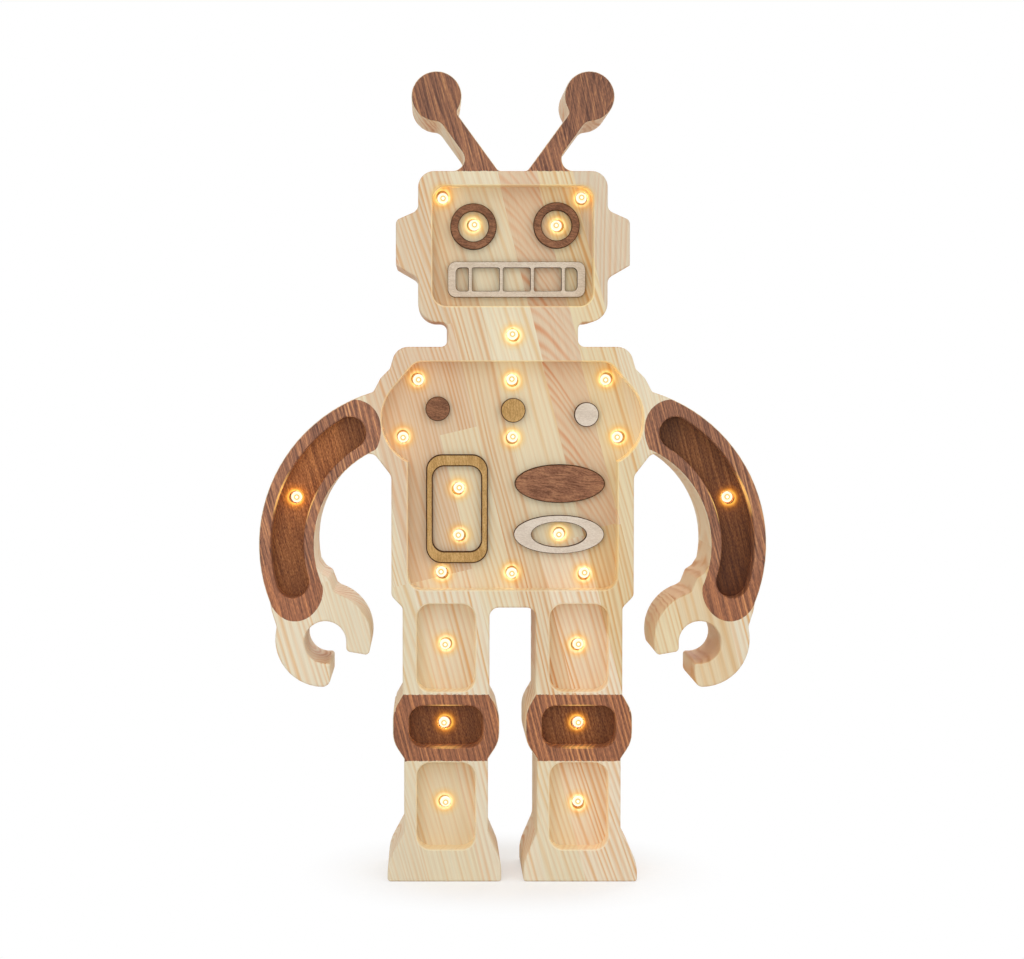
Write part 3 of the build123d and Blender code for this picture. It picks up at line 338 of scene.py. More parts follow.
@dataclass(frozen=True)
class Pine(Finish):
    """Edge-glued pine, planed and sanded under a clear satin coat, with walnut stain on parts.

    The eye gets soft orange lines of summer wood a few degrees off upright, boards that differ
    in tone, and arcs where curved edges cut across the rings. Stain darkens the spring wood
    most, so the lines turn light in it.
    """

    name: str = "pine, clear satin, part stained"
    lean_deg: float = 13.5      # the grain, from upright
    head_top: float = 333.6     # mm up, where the antennae start
    leg_fade: Span = (152.0, 140.0)     # mm up, where the torso's tones turn to the legs'
    front_normal: float = -0.72     # the normal's Y, below which a face looks forwards
    bow: float = 14.0           # mm, how far slow bends move the rings
    ripple: float = 1.6         # mm, how far quick ones do
    uneven: float = 1.2         # years, how far the rings' spacing drifts
    creep: float = 0.8          # mm, how far the stain creeps along the fibres
    arm: ArmStain = field(default_factory=ArmStain)
    knee: KneeStain = field(default_factory=KneeStain)
    holes: tuple[Span, ...] = ()    # the middles of the painted shadow and glow round the lights' holes, in mm
    # What the wood's colour is multiplied by, from part to part.
    routed: Tint = (0.98, 0.945, 0.895)
    routed_leg: Tint = (1.0, 0.965, 0.935)
    # painted light: the trays' walls, brightened and yellowed as if lit by the lights
    painted_wall_light: Tint = (1.20, 1.16, 1.00)
    # painted light: faces that look sideways, brightened
    side: Tint = (1.12, 1.09, 1.07)
    end_early: str = "#ffeee0"
    end_late: str = "#dcb68a"
    # What the stain's colour is multiplied by.
    knee_stain: Tint = (1.10, 1.0, 0.88)
    right_tray_painted_shade: Tint = (0.84, 0.64, 0.48)   # painted shade, low in the right arm's tray
    antenna_coat: float = 0.82
    arm_coat: float = 1.17      # the left arm's, times the ramp in coat()
    left_floor: float = 1.88    # painted light and shade of the arm trays' floors, from the left arm to the right one
    right_floor: float = 0.92
    knee_floor: float = 0.92
    low_floor: float = 0.60     # and from low to high
    high_floor: float = 1.05
    end_floor: float = 0.66     # and the painted shadow at their upper ends
    # The painted glow of the wood round the lights.
    painted_shade_and_glow_reach: float = 7.4     # mm round a light over which its painted shadow, tint and glow reach
    stained_painted_glow: float = 1.3   # how much more the painted glow shows in stained wood
    painted_glow_stain_tint: Tint = (1.0, 0.72, 0.6)
    painted_wall_glow: str = "#e6b45a"   # painted glow on a stained tray's wall beside its light
    painted_wall_glow_power: float = 0.9

    def board_values(self, graph: Graph, across: Socket, along: Socket,
                     pick: Callable[[Board], Any]) -> tuple[Socket, Socket]:
        """A colour that changes from board to board.

        Args:
            graph: The tree.
            across: Millimetres across the grain.
            along: Millimetres along it.
            pick: Gives the colour of a board.

        Returns:
            The colour and its fourth value at a point.
        """
        place = graph.put("MapRange", across, STAVE_LOW, STAVE_LOW + STAVE_SPAN)
        starts = [(stave.start - STAVE_LOW) / STAVE_SPAN for stave in STAVES]

        def steps(value: Callable[[Stave], Any]) -> bpy.types.Node:
            """A ramp that holds one value per stave.

            Args:
                value: Gives the value of a stave.

            Returns:
                The ramp.
            """
            ramp = graph.put("ValToRGB", place, stops=[
                (start, value(stave)) for start, stave in zip(starts, STAVES)]).node
            ramp.color_ramp.interpolation = "CONSTANT"
            return ramp

        ends = steps(lambda s: (s.joint / GRAIN_TOP, s.crown / GRAIN_TOP, 0.0, 1.0)).outputs[0]
        ends = graph.put("VectorMath SCALE", ends, GRAIN_TOP)
        joint, crown, _ = graph.put("SeparateXYZ", ends).node.outputs
        boards = [steps(lambda s, part=part: pick(getattr(s, part)))
                  for part in ("lower", "middle", "upper")]
        colour, fourth = boards[0].outputs
        for limit, board in ((joint, boards[1]), (crown, boards[2])):
            above = graph.put("Math GREATER_THAN", along, limit)
            colour = graph.put("Mix", above, colour, board.outputs[0], data_type="RGBA")
            fourth = graph.put("Mix", above, fourth, board.outputs[1])
        return colour, fourth

    def rings(self, graph: Graph, grain: Socket) -> tuple[Socket, Socket]:
        """Where a point lies between two rings, and how strong that ring is.

        Args:
            graph: The tree.
            grain: The point in axes along the grain, in millimetres.

        Returns:
            The share of the way from one ring to the next, and a random value of the ring.
        """
        across, through, along = graph.put("SeparateXYZ", grain).node.outputs
        cut, gap = self.board_values(graph, across, along, lambda b: (
            b.pith / PITHS + 0.5, b.depth / DEPTHS, b.taper / TAPERS + 0.5, b.spacing / SPACINGS))
        pith, depth, taper = graph.put("SeparateColor", cut).node.outputs
        pith = graph.put("MapRange", pith, 0.0, 1.0, -PITHS / 2, PITHS / 2)
        depth = graph.put("Math MULTIPLY_ADD", depth, DEPTHS, FRONT_Y)
        taper = graph.put("Math MULTIPLY_ADD", taper, TAPERS, -TAPERS / 2)
        bow = graph.clouds(grain, (60, 60, 170), 1.0, "Color")
        bow_x, bow_y, _ = graph.put("SeparateXYZ", bow).node.outputs
        wave = graph.clouds(grain, (12, 12, 60), 1.0, "Color")
        u = graph.put("Math SUBTRACT", across, pith)
        u = graph.put("Math MULTIPLY_ADD", bow_x, self.bow, u)
        u = graph.put("Math MULTIPLY_ADD", graph.put("SeparateXYZ", wave), self.ripple, u)
        y = graph.put("Math SUBTRACT", through, depth)
        y = graph.put("Math MULTIPLY_ADD", bow_y, self.bow, y)
        away = graph.put("Math MULTIPLY_ADD", y, y, graph.put("Math MULTIPLY", u, u))
        away = graph.put("Math MULTIPLY_ADD", taper, along, graph.put("Math SQRT", away))
        years = graph.put("Math DIVIDE", away, graph.put("Math MULTIPLY", gap, SPACINGS))
        uneven = graph.put("Math MULTIPLY", years, 0.37)
        uneven = graph.put("TexNoise", uneven, 1.0, 1.0, noise_dimensions="1D")
        years = graph.put("Math MULTIPLY_ADD", uneven, self.uneven, years)
        ring = graph.put("TexWhiteNoise", graph.put("Math FLOOR", years), noise_dimensions="1D")
        return graph.put("Math FRACT", years), ring

    def summer_wood(self, graph: Graph, grain: Socket) -> Socket:
        """The share of summer wood: it swells slowly over a year and stops short.

        Args:
            graph: The tree.
            grain: The point in axes along the grain, in millimetres.

        Returns:
            0 in spring wood and 1 in the darkest summer wood.
        """
        share, ring = self.rings(graph, grain)
        profile = graph.put("ValToRGB", share, stops=[
            (0.0, 0.0), (0.25, 0.04), (0.46, 0.50), (0.62, 0.95), (0.76, 0.92), (0.90, 0.32),
            (1.0, 0.0)])
        strength = graph.put("MapRange", ring, 0.0, 1.0, 0.30, 1.05)
        patch = graph.clouds(grain, (16, 16, 120), 1.0)
        patch = graph.put("MapRange", patch, 0.35, 0.65, 0.55, 1.15)
        return graph.put("Math MULTIPLY", profile, graph.put("Math MULTIPLY", strength, patch),
                         use_clamp=True)

    def spot(self, graph: Graph) -> Spot:
        """What the other recipes share.

        Args:
            graph: The tree.

        Returns:
            The sockets.
        """
        place = graph.place()
        lean = {"Angle": math.radians(self.lean_deg)}
        grain = graph.put("VectorRotate", place, rotation_type="Y_AXIS", at=lean)
        x, y, z = graph.put("SeparateXYZ", place).node.outputs
        normal = graph.put("TexCoord", give="Normal")
        front = graph.put("SeparateXYZ", normal, give=1)
        front = graph.put("Math LESS_THAN", front, self.front_normal)
        low = graph.put("Math GREATER_THAN", y, FLOOR_Y - 4.0)
        return Spot(place, grain, x, y, z, normal, front,
                    floor=graph.put("Math MULTIPLY", low, front),
                    wall=graph.put("Attribute", attribute_name=WALLS, give="Fac"),
                    leg=graph.put("MapRange", z, *self.leg_fade),
                    late=self.summer_wood(graph, grain),
                    fibre=graph.clouds(grain, (0.45, 0.45, 18.0), 3.0))

    def plain(self, graph: Graph, spot: Spot) -> Socket:
        """The colour of the wood without stain.

        Args:
            graph: The tree.
            spot: The point.

        Returns:
            The colour.
        """
        across, _, along = graph.put("SeparateXYZ", spot.grain).node.outputs
        early, _ = self.board_values(graph, across, along, lambda b: b.early)
        late, _ = self.board_values(graph, across, along, lambda b: b.late)
        streak = graph.clouds(spot.grain, (1.3, 1.3, 36.0), 2.0)
        streak = graph.put("Math SUBTRACT", streak, 0.5)
        shade = graph.put("Math MULTIPLY_ADD", streak, 0.45, spot.late, use_clamp=True)
        shade = graph.put("Math MULTIPLY", shade,
                          graph.put("Math MULTIPLY_ADD", spot.wall, -0.7, 1.0))
        wood = graph.put("Mix", shade, early, late, data_type="RGBA")
        tone = graph.clouds(spot.grain, (34, 34, 120), 2.0)
        light = graph.put("Math MULTIPLY", graph.put("Math MULTIPLY_ADD", spot.fibre, 0.22, 0.89),
                          graph.put("Math MULTIPLY_ADD", tone, 0.16, 0.92))
        wood = graph.put("VectorMath SCALE", wood, light)
        floor_tint = graph.put("Mix", spot.leg, self.routed + (1.0,), self.routed_leg + (1.0,),
                               data_type="RGBA")
        wood = graph.tinted(spot.floor, wood, floor_tint)
        # painted light: faces that look sideways are brightened
        through = graph.put("Math ABSOLUTE", graph.put("SeparateXYZ", spot.normal, give=1))
        wood = graph.tinted(graph.put("Math LESS_THAN", through, 0.5), wood, self.side)
        lean = {"Angle": math.radians(self.lean_deg)}
        end = graph.put("VectorRotate", spot.normal, rotation_type="Y_AXIS", at=lean)
        end = graph.put("Math ABSOLUTE", graph.put("SeparateXYZ", end, give=2))
        end = graph.put("MapRange", end, 0.45, 0.98)
        end = graph.put("Math MULTIPLY", end, graph.put("Math MULTIPLY_ADD", spot.wall, -0.8, 1.0))
        dense = graph.put("Mix", spot.late, self.end_early, self.end_late, data_type="RGBA")
        wood = graph.tinted(end, wood, dense)
        # painted light on the trays' walls, weaker on the legs
        lit = graph.put("Math MULTIPLY_ADD", spot.leg, -0.65, 1.0)
        lit = graph.put("Math MULTIPLY", spot.wall, lit)
        return graph.tinted(lit, wood, self.painted_wall_light)

    def stain(self, graph: Graph, spot: Spot) -> Socket:
        """Where the walnut stain lies.

        Args:
            graph: The tree.
            spot: The point.

        Returns:
            1 on stained wood and 0 elsewhere.
        """
        side = graph.put("Math ABSOLUTE", spot.x)
        creep = graph.clouds(spot.grain, (0.9, 0.9, 5.0), 1.0)
        creep = graph.put("Math MULTIPLY_ADD", creep, self.creep, -self.creep / 2)
        high = graph.put("Math ADD", spot.z, creep)
        antenna = graph.put("Math GREATER_THAN", high, self.head_top - 0.1)
        knee = self.knee
        band = graph.put("Math COMPARE", high,
                         (knee.low + knee.high) / 2, (knee.high - knee.low) / 2)
        knee_tray = graph.put("Math MULTIPLY",
                              graph.put("Math COMPARE", side, knee.tray_x, knee.tray_half_x),
                              graph.put("Math COMPARE", spot.z, knee.tray_z, knee.tray_half_z))
        arm = self.arm
        dx = graph.put("Math SUBTRACT", side, arm.x)
        dz = graph.put("Math SUBTRACT", spot.z, arm.z)
        away = graph.put("Math MULTIPLY_ADD", dx, dx, graph.put("Math MULTIPLY", dz, dz))
        off = graph.put("Math SUBTRACT", graph.put("Math SQRT", away), arm.middle)
        width = graph.put("Math ABSOLUTE", graph.put("Math MULTIPLY_ADD", creep, 0.5, off))
        middle = math.radians(arm.low_deg + arm.high_deg) / 2
        reach = math.radians(arm.high_deg - arm.low_deg) / 2 * arm.middle
        turn = graph.put("Math SUBTRACT", graph.put("Math ARCTAN2", dz, dx), middle)
        cap = graph.put("MapRange", turn, -0.1, 0.1, arm.lower_round, arm.upper_round)
        length = graph.put("Math MULTIPLY_ADD", graph.put("Math ABSOLUTE", turn), arm.middle, cap)
        over = graph.put("Math MAXIMUM", graph.put("Math SUBTRACT", length, reach), 0.0)
        rounded = graph.put("Math SQRT", graph.put(
            "Math MULTIPLY_ADD", over, over, graph.put("Math MULTIPLY", width, width)))
        arm_band = graph.put("Math MULTIPLY", graph.put("Math LESS_THAN", rounded, cap),
                             graph.put("Math LESS_THAN", width, arm.half))
        arm_tray = graph.put("Math LESS_THAN", width, arm.tray_half)
        arm_tray = graph.put("Math MULTIPLY", arm_band, arm_tray)
        drawn = graph.put("Math MAXIMUM", graph.put("Math MAXIMUM", antenna, band), arm_band)
        sunk = graph.put("Math MULTIPLY", graph.put("Math MAXIMUM", knee_tray, arm_tray),
                         graph.put("Math LESS_THAN", spot.y, FLOOR_Y + 1.5))
        return graph.put("Math MAXIMUM", graph.put("Math MULTIPLY", drawn, spot.front), sunk)

    def coat(self, graph: Graph, spot: Spot) -> Socket:
        """How light the stain is, which changes from part to part and at one joint.

        Args:
            graph: The tree.
            spot: The point.

        Returns:
            A factor.
        """
        dense = graph.put("MapRange", spot.z, self.head_top, self.head_top + 30.0,
                          1.0, self.antenna_coat)
        left_arm = graph.put("ValToRGB", graph.put("MapRange", spot.x, -120.0, -60.0), stops=[
            (0.0, 0.97), (0.40, 0.97), (0.685, 0.80), (0.70, 0.97), (0.98, 0.97), (1.0, 0.855)])
        # The ramp's last stop undoes this factor, so all but the left arm stays as it is.
        left_arm = graph.put("Math MULTIPLY", left_arm, self.arm_coat)
        return graph.put("Math MULTIPLY", dense, left_arm)

    def painted_floor_shade(self, graph: Graph, spot: Spot) -> Socket:
        """The painted light and shade on the stained floors of the trays.

        Args:
            graph: The tree.
            spot: The point.

        Returns:
            A factor.
        """
        arm = self.arm
        over = graph.put("MapRange", spot.x, *arm.floor_x, self.left_floor, self.right_floor)
        up = graph.put("MapRange", spot.z, *arm.floor_z, self.low_floor, self.high_floor)
        side = graph.put("Math ABSOLUTE", spot.x)
        inner = graph.put("MapRange", side, *arm.end_x, self.end_floor, 1.0)
        shade = graph.put("Math MULTIPLY", graph.put("Math MULTIPLY", over, up), inner)
        on_arm = graph.put("Math GREATER_THAN", side, arm.from_x)
        return graph.put("Mix", on_arm, self.knee_floor, shade)

    def stained(self, graph: Graph, spot: Spot) -> Socket:
        """The colour of stained wood on the rims, and darker on the floors, with painted shade
        there.

        Args:
            graph: The tree.
            spot: The point.

        Returns:
            The colour.
        """
        # Stain gathers in cells too fine to show, so its specks and grit are drawn coarser.
        speck = graph.clouds(spot.grain, (0.32, 0.32, 1.9), 2.0)
        vein = graph.put("Math SUBTRACT", graph.clouds(spot.grain, (0.75, 0.75, 22.0), 2.0), 0.5)
        vein = graph.put("Math MULTIPLY", vein,
                         graph.put("Math MULTIPLY_ADD", spot.leg, -0.7, 1.5))
        soak = graph.put("Math MULTIPLY_ADD", spot.late, 0.50,
                         graph.put("Math SUBTRACT", vein, 0.5))
        soak = graph.put("Math MULTIPLY_ADD", spot.fibre, 0.7, soak)
        soak = graph.put("Math MULTIPLY_ADD", speck, 0.9, soak)
        rim = graph.put("ValToRGB", soak, stops=[
            (0.0, "#5e3c30"), (0.25, "#7c533f"), (0.5, "#9f6b4f"), (0.75, "#bf855b"),
            (1.0, "#d6a06f")])
        rim = graph.tinted(spot.leg, rim, self.knee_stain)
        rim = graph.put("VectorMath SCALE", rim, self.coat(graph, spot))
        grit = graph.put("Math SUBTRACT", graph.clouds(spot.grain, (0.4, 0.4, 1.3), 3.0), 0.5)
        sunk = graph.put("Math MULTIPLY_ADD", soak, 0.45,
                         graph.put("Math MULTIPLY_ADD", grit, 1.1, 0.26))
        sunk = graph.put("ValToRGB", sunk, stops=[
            (0.0, "#3f200c"), (0.3, "#693a1b"), (0.6, "#965e32"), (1.0, "#c28a55")])
        # painted shade, darkest low and outwards in the right arm's tray
        right_shade = graph.put("Math MULTIPLY", graph.put("MapRange", spot.x, *self.arm.right_shade_x),
                         graph.put("MapRange", spot.z, *self.arm.right_shade_z))
        sunk = graph.tinted(right_shade, sunk, self.right_tray_painted_shade)
        # painted light and shade on the stained floors
        sunk = graph.put("VectorMath SCALE", sunk, self.painted_floor_shade(graph, spot))
        return graph.put("Mix", spot.floor, rim, sunk, data_type="RGBA")

    def mouths(self, graph: Graph, place: Socket) -> tuple[Socket, Socket, Socket]:
        """What the lights do to the wood round them.

        A painted shadow darkens one side of each hole's rim and a painted warm tint lies round it,
        and a painted glow in a narrow ring stands for the light that soaks into the wood.

        Args:
            graph: The tree.
            place: The point in millimetres.

        Returns:
            A factor of painted shadow and warm tint, the painted glow, and the distance in
            reaches.
        """
        flat = graph.put("VectorMath MULTIPLY", place, (1.0, 0.0, 1.0))
        nearest = None
        for x, z in self.holes:
            away = graph.put("VectorMath DISTANCE", flat, (x, 0.0, z))
            nearest = away if nearest is None else graph.put("Math MINIMUM", nearest, away)
        share = graph.put("Math DIVIDE", nearest, self.painted_shade_and_glow_reach)
        # painted shadow on one side of each hole's rim, then a painted warm tint round it
        factor = graph.put("ValToRGB", share, stops=[
            (0.0, "#a8822e"), (0.375, "#bd953c"), (0.405, "#fffbea"), (0.50, "#ffffff"),
            (0.62, "#ffeec8"), (0.76, "#fff6e4"), (1.0, "#ffffff")])
        # painted glow: the wood shines round each hole, though the wood is no lamp
        glow = graph.put("ValToRGB", share, stops=[
            (0.0, "#000000"), (0.385, "#000000"), (0.41, "#a09a42"), (0.47, "#9c842e"),
            (0.56, "#70500e"), (0.68, "#3c2805"), (0.90, "#000000")])
        return factor, glow, share

    def lit(self, graph: Graph, spot: Spot, mask: Socket, glow: Socket,
            share: Socket) -> tuple[Socket, Socket]:
        """The painted glow that comes out of the wood.

        Args:
            graph: The tree.
            spot: The point.
            mask: 1 on stained wood.
            glow: The ring's colour.
            share: Distance from the nearest light in reaches of its warmth.

        Returns:
            The painted glow's colour and strength.
        """
        stronger = graph.put("Math MULTIPLY_ADD", mask, self.stained_painted_glow, 1.0)
        ring = graph.put("Math MULTIPLY", spot.front, stronger)
        near = graph.put("MapRange", share, 1.0, 1.8, self.painted_wall_glow_power, 0.0)
        beside = graph.put("Math MULTIPLY", near,
                           graph.put("MapRange", spot.y, FLOOR_Y - 4.0, FLOOR_Y - 7.0))
        beside = graph.put("Math MULTIPLY", beside, mask)
        glow = graph.tinted(mask, glow, self.painted_glow_stain_tint)
        glow = graph.put("Mix", spot.wall, glow, self.painted_wall_glow, data_type="RGBA")
        return glow, graph.put("Mix", spot.wall, ring, beside)

    def shade(self, graph: Graph) -> None:
        """Adds the nodes.

        Args:
            graph: The material's empty tree.
        """
        spot = self.spot(graph)
        mask = self.stain(graph, spot)
        colour = graph.put("Mix", mask, self.plain(graph, spot), self.stained(graph, spot),
                           data_type="RGBA")
        factor, glow, share = self.mouths(graph, spot.place)
        colour = graph.put("VectorMath MULTIPLY", colour, factor)
        glow, strength = self.lit(graph, spot, mask, glow, share)
        height = graph.put("Math MULTIPLY_ADD", spot.late, 0.4,
                           graph.put("Math MULTIPLY", spot.fibre, 0.6))
        bump = graph.put("Bump", at={"Strength": 0.25, "Distance": 0.00012, "Height": height})
        rough = graph.put("MapRange", spot.fibre, 0.3, 0.7, 0.50, 0.62)
        # painted light: the wood's emission is its painted glow, not a lamp
        graph.close(Base_Color=colour, Roughness=rough, IOR=1.46, Specular_IOR_Level=0.35,
                    Normal=bump, Emission_Color=glow, Emission_Strength=strength)


# ---------------------------------------------------------------- plywood trims

@dataclass(frozen=True)
class TrimFace(Finish):
    """The face of a thin birch plywood trim under a coloured stain.

    The eye gets one tone with fine streaks along the veneer, a little blotchy where the stain
    soaked in. Birch vessels are about a tenth of a millimetre wide, and are drawn three to six
    times as coarse, so that they show.
    """

    name: str
    dark: str
    base: str
    light: str
    turn_deg: float = 82.0      # the veneer's grain, from upright
    speckle: float = 0.5        # share of short specks against long streaks

    def shade(self, graph: Graph) -> None:
        """Adds the nodes.

        Args:
            graph: The material's empty tree.
        """
        place = graph.place()
        turn = {"Angle": math.radians(self.turn_deg)}
        grain = graph.put("VectorRotate", place, rotation_type="Y_AXIS", at=turn)
        sway = graph.clouds(grain, (6, 6, 9), 1.0, "Color")
        sway = graph.put("VectorMath MULTIPLY_ADD", sway, (2.2, 0, 0), grain)
        streak = graph.clouds(sway, (0.6, 0.6, 5.0), 2.0)
        speck = graph.clouds(sway, (0.3, 0.3, 0.9), 2.0)
        cloud = graph.clouds(grain, (5.0, 5.0, 8.0), 2.0)
        tone = graph.put("Math MULTIPLY_ADD", streak, 1.0 - self.speckle,
                         graph.put("Math MULTIPLY", speck, self.speckle))
        tone = graph.put("Math MULTIPLY_ADD", graph.put("Math SUBTRACT", cloud, 0.5), 0.35, tone)
        colour = graph.put("ValToRGB", tone, stops=[
            (0.34, self.dark), (0.5, self.base), (0.64, self.light)])
        bump = graph.put("Bump", at={"Strength": 0.2, "Distance": 0.0001, "Height": streak})
        graph.close(Base_Color=colour, Roughness=0.62, IOR=1.46, Specular_IOR_Level=0.3,
                    Normal=bump)


@dataclass(frozen=True)
class CharredEdge(Finish):
    """Laser-cut plywood edge, scorched brown with faint plies; on a face's rim partly painted
    shade.
    """

    name: str = "laser-burnt plywood edge"
    dark: str = "#2a180c"
    light: str = "#5a3a20"
    ply: float = 1.0            # mm, one ply's thickness

    def shade(self, graph: Graph) -> None:
        """Adds the nodes.

        Args:
            graph: The material's empty tree.
        """
        place = graph.place()
        through = graph.put("SeparateXYZ", place, give=1)
        wave = graph.put("Math SINE", graph.put("Math MULTIPLY", through, math.tau / self.ply))
        tone = graph.put("Math MULTIPLY_ADD", wave, 0.10,
                         graph.clouds(place, (0.8, 0.8, 0.8), 2.0))
        colour = graph.put("ValToRGB", tone, stops=[(0.3, self.dark), (0.75, self.light)])
        graph.close(Base_Color=colour, Roughness=0.8, Specular_IOR_Level=0.2)


@dataclass(frozen=True)
class BirchPly(Finish):
    """The back cover's birch plywood, sanded.

    The rotary cut lays the year rings open as broad flames with one crisp side, over fine
    fibres with short brown pore dashes. Fibres and pores are drawn coarser than they are, so
    that they show.
    """

    name: str = "birch plywood, sanded"
    light: str = "#ead8b4"
    mid: str = "#dcc398"
    dark: str = "#c39e6b"
    flames: float = 13.0        # rings over the noise's span

    def shade(self, graph: Graph) -> None:
        """Adds the nodes.

        Args:
            graph: The material's empty tree.
        """
        place = graph.place()
        sway = graph.clouds(place, (14, 14, 40), 1.0, "Color")
        sway = graph.put("VectorMath MULTIPLY_ADD", sway, (5.0, 0, 0), place)
        broad = graph.clouds(sway, (34, 34, 210), 1.0)
        flame = graph.put("Math FRACT", graph.put("Math MULTIPLY", broad, self.flames))
        flame = graph.put("ValToRGB", flame, stops=[
            (0.0, 0.10), (0.45, 0.22), (0.72, 0.62), (0.86, 1.0), (0.93, 0.55), (1.0, 0.10)])
        fibre = graph.clouds(place, (0.45, 0.45, 16.0), 3.0)
        pore = graph.clouds(place, (0.35, 0.35, 2.6), 1.0)
        pore = graph.put("MapRange", pore, 0.66, 0.74)
        tone = graph.put("Math MULTIPLY_ADD", flame, 0.42,
                         graph.put("Math MULTIPLY_ADD", fibre, 0.55, -0.12))
        tone = graph.put("Math MULTIPLY_ADD", pore, 0.30, tone)
        colour = graph.put("ValToRGB", tone, stops=[
            (0.1, self.light), (0.42, self.mid), (0.85, self.dark)])
        bump = graph.put("Bump", at={"Strength": 0.2, "Distance": 0.0001, "Height": fibre})
        graph.close(Base_Color=colour, Roughness=0.62, IOR=1.46, Specular_IOR_Level=0.35,
                    Normal=bump)


# ---------------------------------------------------------------- plastics, metals and wiring

@dataclass(frozen=True)
class Moulded(Finish):
    """A moulded, plated or printed finish with a fine texture.

    Its colour drifts a little from place to place, and the grit shows in the gloss.
    """

    name: str
    dark: str
    light: str
    grit_mm: float = 0.4        # coarser than real grit, so that it shows
    roughness: float = 0.45
    metallic: float = 0.0
    bump: float = 0.1
    sunk_y: float = -100.0      # mm along Y, below which it lies in a recess
    sunk_shade: float = 0.22    # and is darkened with painted shade
    gloss_drift: float = 0.06   # how far the grit moves the roughness

    def shade(self, graph: Graph) -> None:
        """Adds the nodes.

        Args:
            graph: The material's empty tree.
        """
        place = graph.place()
        grit = graph.clouds(place, (self.grit_mm,) * 3, 2.0)
        drift = graph.clouds(place, (9.0, 9.0, 9.0), 2.0)
        tone = graph.put("Math MULTIPLY_ADD", grit, 0.35, graph.put("Math MULTIPLY", drift, 0.65))
        colour = graph.put("ValToRGB", tone, stops=[(0.3, self.dark), (0.7, self.light)])
        sunk = graph.put("Math LESS_THAN", graph.put("SeparateXYZ", place, give=1), self.sunk_y)
        colour = graph.tinted(sunk, colour, (self.sunk_shade,) * 3)
        rough = graph.put("MapRange", grit, 0.3, 0.7,
                          self.roughness - self.gloss_drift, self.roughness + self.gloss_drift)
        bump = graph.put("Bump", at={"Strength": self.bump, "Distance": 0.00005, "Height": grit})
        graph.close(Base_Color=colour, Roughness=rough, Metallic=self.metallic, Normal=bump)


@dataclass(frozen=True)
class InletBody(Finish):
    """The barrel socket: a black moulded body round a nickel-plated centre pin.

    Its grit is coarser than a real one's, so that it shows.
    """

    name: str = "socket body, black, with nickel pin"
    z: float = 152.0            # mm up, the socket's middle
    pin: float = 1.12           # mm, the radius that the plating covers
    nickel: str = "#c9c4ba"

    def shade(self, graph: Graph) -> None:
        """Adds the nodes.

        Args:
            graph: The material's empty tree.
        """
        place = graph.place()
        flat = graph.put("VectorMath SUBTRACT", place, (0.0, 0.0, self.z))
        flat = graph.put("VectorMath MULTIPLY", flat, (1.0, 0.0, 1.0))
        away = graph.put("VectorMath LENGTH", flat)
        pin = graph.put("Math LESS_THAN", away, self.pin)
        grit = graph.clouds(place, (0.45, 0.45, 0.45), 2.0)
        black = graph.put("ValToRGB", grit, stops=[(0.3, "#121212"), (0.7, "#1d1d1d")])
        colour = graph.put("Mix", pin, black, self.nickel, data_type="RGBA")
        rough = graph.put("MapRange", pin, 0.0, 1.0, 0.42, 0.25)
        graph.close(Base_Color=colour, Roughness=rough, Metallic=pin)


@dataclass(frozen=True)
class LitEpoxy(Finish):
    """The clear epoxy of a lit 5 mm lamp, warm white.

    The middle is too bright to show colour, a thin golden ring marks the reflector's rim, and
    the outer edge is amber where less light leaves it. The rings follow the piece's UV map,
    whose first value is the distance from the middle in lamp radii.
    """

    name: str = "lit epoxy, warm white"
    reach: float = 1.3          # lamp radii that the ramp spans
    unlit: str = "#2a1c08"      # what the epoxy reflects besides its own light
    power: float = 1.08

    def shade(self, graph: Graph) -> None:
        """Adds the nodes.

        Args:
            graph: The material's empty tree.
        """
        away = graph.put("SeparateXYZ", graph.put("UVMap"))
        share = graph.put("Math DIVIDE", away, self.reach)
        colour = graph.put("ValToRGB", share, stops=[
            (0.0, "#fffdf2"), (0.21, "#fffbe8"), (0.27, "#f6b64c"), (0.36, "#f8bf5c"),
            (0.42, "#fff4d0"), (0.76, "#fffdf2"), (0.82, "#fff0c0"), (0.90, "#f3b33e"),
            (0.96, "#b57a1c"), (1.0, "#8a5a12")])
        graph.close(Base_Color=self.unlit, Roughness=0.12, IOR=1.54, Specular_IOR_Level=0.2,
                    Emission_Color=colour, Emission_Strength=self.power)


# ---------------------------------------------------------------- mesh helpers

def only(piece: Piece) -> None:
    """Makes a piece the only selected and the active object.

    Args:
        piece: The piece.
    """
    bpy.ops.object.select_all(action="DESELECT")
    piece.select_set(True)
    bpy.context.view_layer.objects.active = piece


def copied(node: Piece, name: str) -> Piece:
    """A merged copy of a CAD node's mesh, as a new piece.

    Args:
        node: The CAD node.
        name: The new piece's name.

    Returns:
        The piece.
    """
    piece = bpy.data.objects.new(name, node.data.copy())
    bpy.context.collection.objects.link(piece)
    piece.data.materials.clear()
    only(piece)
    bpy.ops.object.mode_set(mode="EDIT")
    bpy.ops.mesh.select_all(action="SELECT")
    bpy.ops.mesh.remove_doubles(threshold=0.001 * MM)
    bpy.ops.mesh.customdata_custom_splitnormals_clear()
    bpy.ops.object.mode_set(mode="OBJECT")
    return piece


def polished(piece: Piece, angle_deg: float = 35.0) -> None:
    """Shades a piece smooth up to an angle, each normal led by the largest faces round it.

    Args:
        piece: The piece.
        angle_deg: The angle past which an edge stays sharp.
    """
    only(piece)
    bpy.ops.object.shade_smooth_by_angle(angle=math.radians(angle_deg), keep_sharp_edges=False)
    weighted = piece.modifiers.new("even normals", "WEIGHTED_NORMAL")
    weighted.mode = "FACE_AREA"
    weighted.weight = 100
    weighted.keep_sharp = True
    bpy.ops.object.modifier_apply(modifier=weighted.name)


